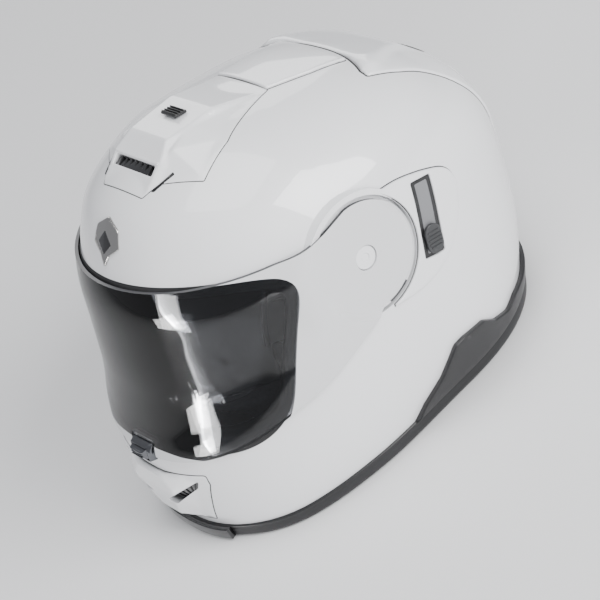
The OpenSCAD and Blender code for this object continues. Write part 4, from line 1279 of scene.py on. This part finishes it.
track_top = [low + slide * t for t in (-4, 0, 10, 20, 33)]
knob_x = max(float(SIDE(np.array([p]), 0.9)[0, 0]) for p in track_top) + 0.6
capsule = [(low[0] + 6.5 * math.cos(a), low[1] + 6.5 * math.sin(a)) for a in np.radians(np.arange(0, 360, 10))]
capsule = [(c[0], c[1] + (4 if c[1] > low[1] else -4)) for c in capsule]
parts = [slab("plate", dense(np.array(capsule), 2), knob_x, knob_x + 2.3, (1, 2, 0), KNOB, 0.6, pitch=2.2,
              link=False)]
for k in (-5.4, -2.7, 0, 2.7, 5.4):
    u0 = low[1] + k
    w = 5.2 if abs(k) < 4 else 4.2
    section = ((1.9, -0.9), (1.9, 0.9), (3.2, -0.2), (3.2, 0.2))
    parts.append(loose("rib", [(knob_x + x, low[0] + s * w, u0 + d) for s in (-1, 1) for x, d in section],
                       KNOB, 0.25, 2))
panel("slider_track_inlay", SIDE, dense(slot_box(5.4, -9.5, 38.5, 1.0), 3), GREY, 0.84, depth=0.5, edge=0.1, pitch=2.5,
      slot="plastic_grey")
join("sun_slider_knob", parts, "sun_slider", ["slider_knob"])

for s_, tag in ((1, "left"), (-1, "right")):
    axis = (s_, 0, 0)
    turned("hub_plate_" + tag, (0, 0, 0), axis, [
        (0.05, 115.1), (40.0, 115.1), (40.0, 116.6), (39.6, 116.95), (37.4, 117.0), (36.9, 116.6), (35.1, 116.6),
        (34.6, 117.0), (23.0, 117.0), (22.6, 116.5), (8.5, 116.5), (8.0, 117.0), (8.0, 119.9), (7.6, 120.3),
        (3.2, 120.35), (2.6, 119.6), (0.05, 119.6)], WHITE, body="shell", replaces=["base_plate_" + tag],
        slot="plate_white")
    turned("hub_ring_" + tag, (0, 0, 0), axis, [
        (8.45, 117.42), (20.6, 117.42), (21.0, 117.8), (21.0, 118.3), (20.6, 118.66), (17.8, 118.66), (17.4, 118.3),
        (12.2, 118.3), (11.8, 118.66), (8.8, 118.66), (8.45, 118.3)], PLATE, ring=True, body="visor",
        replaces=["visor_hinge_" + tag], slot="plate_white")
screws = []
for s_ in (1, -1):
    for a in np.radians((45, 135, 225, 315)):
        at = (0, 29 * math.sin(a), 29 * math.cos(a))
        screws.append(turned("screw", at, (s_, 0, 0), [(0.05, 115.1), (3.0, 115.1), (3.0, 116.5), (2.6, 116.8),
                                                      (1.5, 116.8), (1.3, 116.1), (0.05, 116.1)], STEEL, 24, body=None))
join("hub_screws", screws, "shell", ["base_plate_screws"])
PIN_PROFILE = [(0.05, -1.2), (2.5, -1.2), (2.5, 3.2), (2.3, 3.5), (1.7, 3.55), (1.5, 3.2), (0.9, 3.2), (0.7, 3.5),
               (0.05, 3.55)]
pins = []
for s_ in (1, -1):
    p = np.array([115.5 * s_, 52.0, -39.0])
    n = normals(p[None])[0]
    pins.append(turned("pin", p - n * 0.6, n, PIN_PROFILE, SNAP, 32, body=None))
join("insert_pins", pins, "visor", ["pinlock_pins"])
# ------------------------------------------------------------------ pads and linings
def remeshed(name, node, voxel, smooth=0):
    """A fine even mesh of a CAD solid, as a new piece."""
    source = frame["nodes"][node]
    obj = bpy.data.objects.new(name, source.data.copy())
    bpy.context.scene.collection.objects.link(obj)
    m = obj.modifiers.new("remesh", "REMESH")
    m.mode, m.voxel_size, m.adaptivity = "VOXEL", voxel / 1000, 0
    if smooth:
        sm = obj.modifiers.new("smooth", "SMOOTH")
        sm.iterations, sm.factor = smooth, 0.5
    bake(obj)
    obj.data.materials.clear()
    return obj


def bake(obj):
    """Replaces an object's mesh with what its modifiers make of it."""
    bpy.context.view_layer.update()
    mesh = bpy.data.meshes.new_from_object(obj.evaluated_get(bpy.context.evaluated_depsgraph_get()))
    obj.modifiers.clear()
    old, obj.data = obj.data, mesh
    bpy.data.meshes.remove(old)


def coordinates(mesh):
    co = np.empty(len(mesh.vertices) * 3)
    mesh.vertices.foreach_get("co", co)
    return co.reshape(-1, 3)


def normals_of(mesh):
    no = np.empty(len(mesh.vertices) * 3)
    mesh.vertex_normals.foreach_get("vector", no)
    return no.reshape(-1, 3)


def puff(obj, cap):
    """Blows the piece up as cloth, with the movement of each point kept under cap millimetres."""
    start = coordinates(obj.data).copy()
    m = obj.modifiers.new("cloth", "CLOTH")
    m.settings.use_pressure = True
    m.settings.uniform_pressure_force = 4.0
    m.settings.effector_weights.gravity = 0.0
    m.settings.tension_stiffness = 30
    m.settings.compression_stiffness = 30
    m.settings.bending_stiffness = 2
    m.collision_settings.use_collision = False
    scene = bpy.context.scene
    for t in range(1, 21):
        scene.frame_set(t)
    mesh = bpy.data.meshes.new_from_object(obj.evaluated_get(bpy.context.evaluated_depsgraph_get()))
    moved = coordinates(mesh)
    obj.modifiers.clear()
    bpy.data.meshes.remove(mesh)
    scene.frame_set(1)
    d = moved - start
    size = np.linalg.norm(d, axis=1, keepdims=True)
    d *= np.minimum(1, cap / 1000 / np.maximum(size, 1e-9))
    obj.data.vertices.foreach_set("co", (start + d).ravel())
    obj.data.update()


def finish_pad(obj, mat, seams=(), body="shell", replaces=(), depth=1.6, width=3.2):
    m = obj.modifiers.new("sub", "SUBSURF")
    m.levels = 1
    bake(obj)
    co, no = coordinates(obj.data), normals_of(obj.data)
    p = head(co)
    push = np.zeros(len(co))
    for field in seams:
        push = np.maximum(push, np.exp(-(field(p) / width) ** 2))
    obj.data.vertices.foreach_set("co", (co - no * (push * depth / 1000)[:, None]).ravel())
    obj.data.update()
    dress(coat(obj, mat, True), body, replaces)


def upright_of(p):
    """Standing frame points of head frame points."""
    return np.stack([p[..., 0], p[..., 1] * COS - p[..., 2] * SIN, p[..., 1] * SIN + p[..., 2] * COS], -1)


for tag in ("left", "right"):
    pad = remeshed("cheek_pad_cover_" + tag, "cheek_pad_" + tag, 5.0, 4)
    puff(pad, 5.0)
    finish_pad(pad, LINING, [lambda p: upright_of(p)[..., 2] + 92.0,
                             lambda p: upright_of(p)[..., 1] - 34 - 0.4 * (upright_of(p)[..., 2] + 100)],
               replaces=["cheek_pad_" + tag])
crown = remeshed("crown_liner", "crown_pad", 4.5, 5)
puff(crown, 5.0)
finish_pad(crown, LINING_LIGHT, [
    lambda p: np.abs(p[..., 0]) - 24.0, lambda p: np.abs(p[..., 0]) - 62.0,
    lambda p: np.where(np.abs(p[..., 0]) < 62, p[..., 1] + 78.0, 99.0),
    lambda p: np.where(np.abs(p[..., 0]) < 62, p[..., 1] + 12.0, 99.0)], replaces=["crown_pad"],
    depth=2.6)
roll = remeshed("neck_roll_cover", "neck_roll", 4.5, 4)
puff(roll, 5.0)
finish_pad(roll, NECK, [lambda p: upright_of(p)[..., 2] + 124.5], replaces=["neck_roll"],
           depth=1.8)

for name, node, voxel, passes, mat, finish in (
        ("impact_liner", "eps_liner", 2.4, 4, FOAM, "foam_black"),
        ("chin_impact_foam", "chin_foam", 1.8, 4, FOAM, "foam_black"),
        ("breath_mask", "breath_deflector", 1.0, 6, RUBBER, "rubber_black")):
    dress(coat(remeshed(name, node, voxel, passes), mat, True), "shell", [node])

# ------------------------------------------------------------------ chin curtain, a sheet of cloth
def two_faced(n, m):
    """The faces of a thin sheet: an n by m grid, the same grid under it, and the strip between their edges."""
    under, faces = n * m, []
    for i in range(n - 1):
        for j in range(m - 1):
            a, b, c, d = i * m + j, (i + 1) * m + j, (i + 1) * m + j + 1, i * m + j + 1
            faces += [(a, b, c, d), (under + d, under + c, under + b, under + a)]
    edge = [i * m for i in range(n)] + [(n - 1) * m + j for j in range(1, m)]
    edge += [i * m + m - 1 for i in range(n - 2, -1, -1)] + list(range(m - 2, 0, -1))
    after = edge[1:] + edge[:1]
    return faces + [(a, under + a, under + b, b) for a, b in zip(edge, after)]


half, rear = 51.5, 109.0
xs = np.linspace(-half, half, 61)
edge_f = np.array([upright_of(cast(stand(np.array([x, rear, -131.6])), stand(np.array([0, 1.0, 0])), 4.4))[1] - 0.4
                   for x in xs])
rows = []
count = 24
for i, x in enumerate(xs):
    t = np.linspace(0, 1, count + 1)
    f = rear + (edge_f[i] - rear) * t
    sag = 1.3 * np.sin(np.pi * t) * (1 - (x / half) ** 2) + 0.28 * np.sin(x * 0.42) * np.sin(np.pi * t)
    rows.append(np.stack([np.full(count + 1, x), f, -131.5 - sag * 0.9 + 0.4], 1))
grid = np.array(rows)
verts = np.concatenate([grid.reshape(-1, 3), (grid - (0, 0, 0.9)).reshape(-1, 3)])
curtain = make("chin_curtain_cloth", stand(verts), two_faced(*grid.shape[:2]), CURTAIN, "shell", ["chin_curtain"],
               "neck_fabric")

# ------------------------------------------------------------------ sun visor
SUN_F, SUN_U, SUN_R, SUN_HALF, SUN_SIDE = -4.0, -35.0, 125.0, 122.0, 96.0


def sun_point(x, phi, inset):
    half_, radius = SUN_HALF - inset, SUN_R - inset
    r = radius * (1 - np.minimum(np.abs(x) / half_, 1) ** 2.05) ** (1 / 2.05)
    phi = np.radians(phi)
    return np.stack([x, SUN_F + r * np.cos(phi), SUN_U + r * np.sin(phi)], -1)


xs = np.linspace(-SUN_SIDE, SUN_SIDE, 97)
phis = np.linspace(-17, 31, 49)
gx, gp = np.meshgrid(xs, phis, indexing="ij")
nose = 5.5 * np.exp(-(gx / 17.0) ** 2) * np.clip((3 - gp) / 20, 0, 1)
gp = gp + nose
rings = []
for inset in (0.25, 2.0):
    rings.append(sun_point(gx, gp, inset).reshape(-1, 3))
lens = crisp(make("sun_lens", np.concatenate(rings), two_faced(*gx.shape), SMOKE, None), 40)
arms = [lens]
arm_r = float(np.hypot(*(sun_point(np.array(95.0), 0.0, 0.4)[1:] - (SUN_F, SUN_U))))
sector = [(SUN_F + arm_r * math.cos(a), SUN_U + arm_r * math.sin(a)) for a in np.radians(np.linspace(2.5, 23.5, 12))]
hub_round = [(SUN_F + 9 * math.cos(a), SUN_U + 9 * math.sin(a)) for a in np.radians(np.linspace(103, 283, 20))]
pin_hole = circle(3.45, 32, (SUN_F, SUN_U))
for m in (1, -1):
    arms.append(slab("arm", dense(np.array(sector + hub_round), 3), 93.7, 95.9, (1, 2, 0), BLACK, 0.4,
                     [pin_hole], 4, link=False, mirror=m < 0))
join("sun_visor_shield", arms, "sun_visor", ["sun_visor_lens"])
hubs = [turned("hub", (0, SUN_F, SUN_U), (m, 0, 0), [
    (0.05, 93.6), (2.95, 93.6), (2.95, 96.35), (10.6, 96.4), (11.0, 96.8), (11.0, 99.4), (10.5, 99.75), (6, 99.75),
    (5.6, 99.3), (0.05, 99.3)], BLACK, 48, body=None) for m in (1, -1)]
join("sun_visor_bosses", hubs, "shell", ["sun_visor_pivots"])

# ------------------------------------------------------------------ chin strap and buckle, in the standing frame
STRAP_U, STRAP_F, STRAP_W, STRAP_T = -128.4, 30.0, 24.0, 2.5


def wall_x(u, inset=4.0):
    return float(cast(stand(np.array([0, STRAP_F, u])), np.array([1.0, 0, 0]), inset)[0])


strap_x, turn_x = wall_x(-96) - 6, wall_x(-124) - 7


def ribbon(name, path, mat, m=1, width=STRAP_W, thick=STRAP_T, **kw):
    """Flat webbing along a path of (x, up), with thicker woven edges and cross ribs."""
    p = spline(np.array(path, float), 1.0, False)
    t = np.gradient(p, axis=0)
    t /= np.linalg.norm(t, axis=1, keepdims=True)
    nrm = np.stack([-t[:, 1], t[:, 0]], 1)
    along_ = np.concatenate([[0], np.cumsum(np.linalg.norm(np.diff(p, axis=0), axis=1))])
    w, h = width / 2, thick / 2
    half = [(-w, 0.35), (-w + 0.5, 0.9), (-w + 1.6, 1), (-w + 2.2, 0.82), (-w * 0.5, 0.9), (0, 0.86), (w * 0.5, 0.9),
            (w - 2.2, 0.82), (w - 1.6, 1), (w - 0.5, 0.9), (w, 0.35)]
    prof = [(x, -h * y) for x, y in half] + [(x, h * y) for x, y in half[::-1]]
    rows = []
    for c, n, s_ in zip(p, nrm, along_):
        rib = 1 - 0.05 * (0.5 + 0.5 * math.cos(s_ * 2 * math.pi / 2.0))
        rows.append([(m * (c[0] + n[0] * y * rib), STRAP_F + x, c[1] + n[1] * y * rib) for x, y in prof])
    return lattice(name, stand(np.array(rows)), mat, False, True, True, **kw)


for m, end, tag in ((1, 38.2, "left"), (-1, 20.7, "right")):
    h = STRAP_T / 2
    path = [(strap_x + h, -78.2), (strap_x + h, -88), (strap_x + h + 0.3, -98), (turn_x + h - 0.2, -117),
            (turn_x - 3.5, STRAP_U + h + 1.4), (turn_x - 11, STRAP_U + h), (70, STRAP_U + h), (50, STRAP_U + h),
            (end, STRAP_U + h)]
    band = ribbon("strap", path, WEBBING, m, body=None)
    sewn = [band]
    for v0 in (-80.5, -92.5):
        line = [(m * (strap_x - 0.05), STRAP_F + x, v0) for x in (-9.5, 9.5)]
        sewn.append(stitches("row", stand(np.array(line)), stand(np.array([(-m, 0, 0)] * 2)), THREAD, body=None))
    for s_ in (-9.5, 9.5):
        line = [(m * (strap_x - 0.05), STRAP_F + s_, v) for v in (-80.5, -92.5)]
        sewn.append(stitches("row", stand(np.array(line)), stand(np.array([(-m, 0, 0)] * 2)), THREAD, body=None))
        line = [(m * (strap_x - 0.05), STRAP_F + s_ * k, v) for k, v in ((1, -80.5), (-1, -92.5))]
        sewn.append(stitches("row", stand(np.array(line)), stand(np.array([(-m, 0, 0)] * 2)), THREAD, body=None))
    join("strap_webbing_" + tag, sewn, "shell", ["chin_strap_" + tag])
anchors = []
for m in (1, -1):
    at = stand(np.array([m * (strap_x + STRAP_T + 0.1), STRAP_F, -84.0]))
    anchors.append(turned("rivet", at, (m, 0, 0), [(0.05, 0), (4.6, 0), (5.0, 0.3), (4.9, 0.8), (4.2, 1.15), (1.6, 1.2),
                                                  (1.2, 0.8), (0.05, 0.8)], STEEL, 36, body=None))
join("strap_rivets", anchors, "shell", ["strap_anchors"])


def sleeve(name, x0, x1, m, node):
    """A padded sleeve round the webbing: crowned, pulled in at its sewn ends and along its quilting."""
    n, k = 44, 40
    rows = []
    for i in range(n + 1):
        t = i / n
        x = x0 + (x1 - x0) * t
        puffed = min(1.0, math.sin(math.pi * min(max(t, 0.0), 1.0)) ** 0.35 if 0 < t < 1 else 0.0)
        quilt = 1 - 0.22 * sum(math.exp(-((t - q) / 0.03) ** 2) for q in ((0.34, 0.67) if x1 - x0 > 28 else (0.5,)))
        w = STRAP_W / 2 + 0.9 + 1.6 * puffed
        hgt = STRAP_T / 2 + 0.5 + 1.9 * puffed * quilt
        loop = []
        for a in np.radians(np.arange(0, 360, 360 / k)):
            c, s_ = math.cos(a), math.sin(a)
            loop.append((m * x, STRAP_F + w * np.sign(c) * abs(c) ** 0.35,
                         STRAP_U + STRAP_T / 2 + hgt * np.sign(s_) * abs(s_) ** 0.62))
        rows.append(loop)
    obj = lattice(name, stand(np.array(rows)), NECK, False, True, True, body="shell", replaces=[node],
                  slot="neck_fabric")
    return obj


sleeve("strap_comfort_pad_left", 45, 66, 1, "strap_pad_left")
sleeve("strap_comfort_pad_right", 30, 66, -1, "strap_pad_right")

B = STRAP_U - 1.6
w = STRAP_W / 2
frame_parts = [
    loose("floor", box_points((-20, 20), (STRAP_F - w - 1, STRAP_F + w + 1), (B, B + 1.4)), BLACK, 0.4, upright=True)]
for s_ in (-1, 1):
    a, b = sorted((STRAP_F + s_ * (w - 1.4), STRAP_F + s_ * (w + 1)))
    frame_parts.append(loose("cheek", [(x, f, u) for f in (a, b) for x, u in (
        (-20, B), (20, B), (20, B + 4.2), (15, B + 6.6), (-4, B + 9.4), (-18, B + 9.4), (-20, B + 8))], BLACK, 0.4,
        upright=True))
frame_parts.append(loose("back", box_points((-20, -17.6), (STRAP_F - w, STRAP_F + w), (B, B + 6)), BLACK, 0.5,
                         upright=True))
join("buckle_frame", frame_parts, "shell", ["buckle_body"])
lever_u = B + 7.3
turned("buckle_axle", stand(np.array([-13.0, STRAP_F - w - 1, lever_u])), stand(np.array([0, 1.0, 0])),
       [(0.05, 0.3), (1.2, 0.0), (1.5, 0.3), (1.5, 25.7), (1.2, 26.0), (0.05, 25.7)], STEEL, 24, body="shell",
       replaces=["buckle_pin"], slot="steel_dark")
tongue = [loose("plate", box_points((-15.9, 37.4), (STRAP_F - w + 2, STRAP_F + w - 2), (STRAP_U + 0.1, STRAP_U + 1.5)),
              ORANGE, 0.3, upright=True)]
for i in range(12):
    x = -14 + 2.4 * i
    tongue.append(loose("tooth", [(x + a, f, STRAP_U + 1.3 + b) for f in (STRAP_F - w + 3, STRAP_F + w - 3)
                                  for a, b in ((0, 0), (1.9, 0), (1.9, 0.9), (1.3, 1.0))], ORANGE, 0.1, 1, True))
join("ratchet_strip", tongue, "shell", ["ratchet_tongue"])
section = ((-10.6, -1.7), (-10.6, 1.75), (12, 1.7), (17, 0.2), (17, -1.7))
grip = [loose("bar", [(x, f, lever_u + d) for f in (STRAP_F - w + 2, STRAP_F + w - 2) for x, d in section], RED, 0.5,
              upright=True)]
for x in (6.0, 8.2, 10.4):
    grip.append(loose("rib", [(x + a, f, lever_u + b) for f in (STRAP_F - 7, STRAP_F + 7)
                              for a, b in ((-0.6, 1.5), (0.6, 1.5), (0.25, 2.1), (-0.25, 2.1))], RED, 0.12, 2, True))
grip.append(turned("knuckle", stand(np.array([-13.0, STRAP_F - w + 2, lever_u])), stand(np.array([0, 1.0, 0])),
                   [(1.7, 0), (2.5, 0), (2.7, 0.3), (2.7, 19.7), (2.5, 20), (1.7, 20)], RED, 32, ring=True, body=None))
join("buckle_lever_grip", grip, "buckle_lever", ["buckle_lever"])
SNAP_PROFILE = [(0.05, 0.05), (4.4, 0.05), (4.5, 0.4), (4.5, 1.5), (4.2, 1.9), (2.2, 1.9), (2.0, 1.4), (0.05, 1.4)]
snaps = []
for m in (1, -1):
    for f in (-10.0, 66.0):
        at = stand(np.array([m * 82.0, f, -78.0]))
        snaps.append(turned("snap", at, stand(np.array([0, 0, 1.0])), SNAP_PROFILE, SNAP, 32, body=None))
join("cheek_snaps", snaps, "shell", ["cheek_pad_snaps"])

# the diffuser goes on round the back
back_x = np.linspace(-64, 64, 33)
low_u = np.full(33, -98.0)
for _ in range(4):
    low_u = -138.3 - 0.2493 * REAR(np.stack([back_x, low_u], 1))[:, 1]
high_u = low_u + 10 + 2.5 * np.exp(-(back_x / 22) ** 4)
back_loop = np.concatenate([np.stack([back_x, low_u], 1), np.stack([back_x, high_u], 1)[::-1]])
panel("rear_diffuser_middle", REAR, dense(back_loop, 3), BLACK, 3.5, pitch=3, edge=1.2, slot="plastic_black")


def gap(name, chart, outline, width=0.9, lift=0.16, **kw):
    """The dark line round a fitted cover: painted shade, a dark sheet a little wider than the cover standing in for the
    shadow in the gap.
    """
    wide = inward(ccw(outline), -width)
    panel(name, chart, wide, GAP_SHADE, lift, depth=-0.3, pitch=5, edge=0.05, slot="plastic_black", **kw)


gap("gap_side_left", SIDE, cover, 0.55)
gap("gap_side_right", SIDE, cover, 0.55, mirror=True)
gap("gap_strip", TOP, strip, 0.6)
gap("gap_spoiler", HINDER, spoiler_outline, 0.7, 0.18)
gap("gap_brow", BROW, brow_outline, 0.5)
gap("gap_chin", FRONT, chin_outline, 0.6)

cad_only = {"pinlock_lens": INSERT, "chin_vent_slider": BLACK}
for name, m in cad_only.items():
    o = frame["nodes"][name]
    for k in range(max(1, len(o.material_slots))):
        if o.material_slots:
            o.material_slots[k].material = m
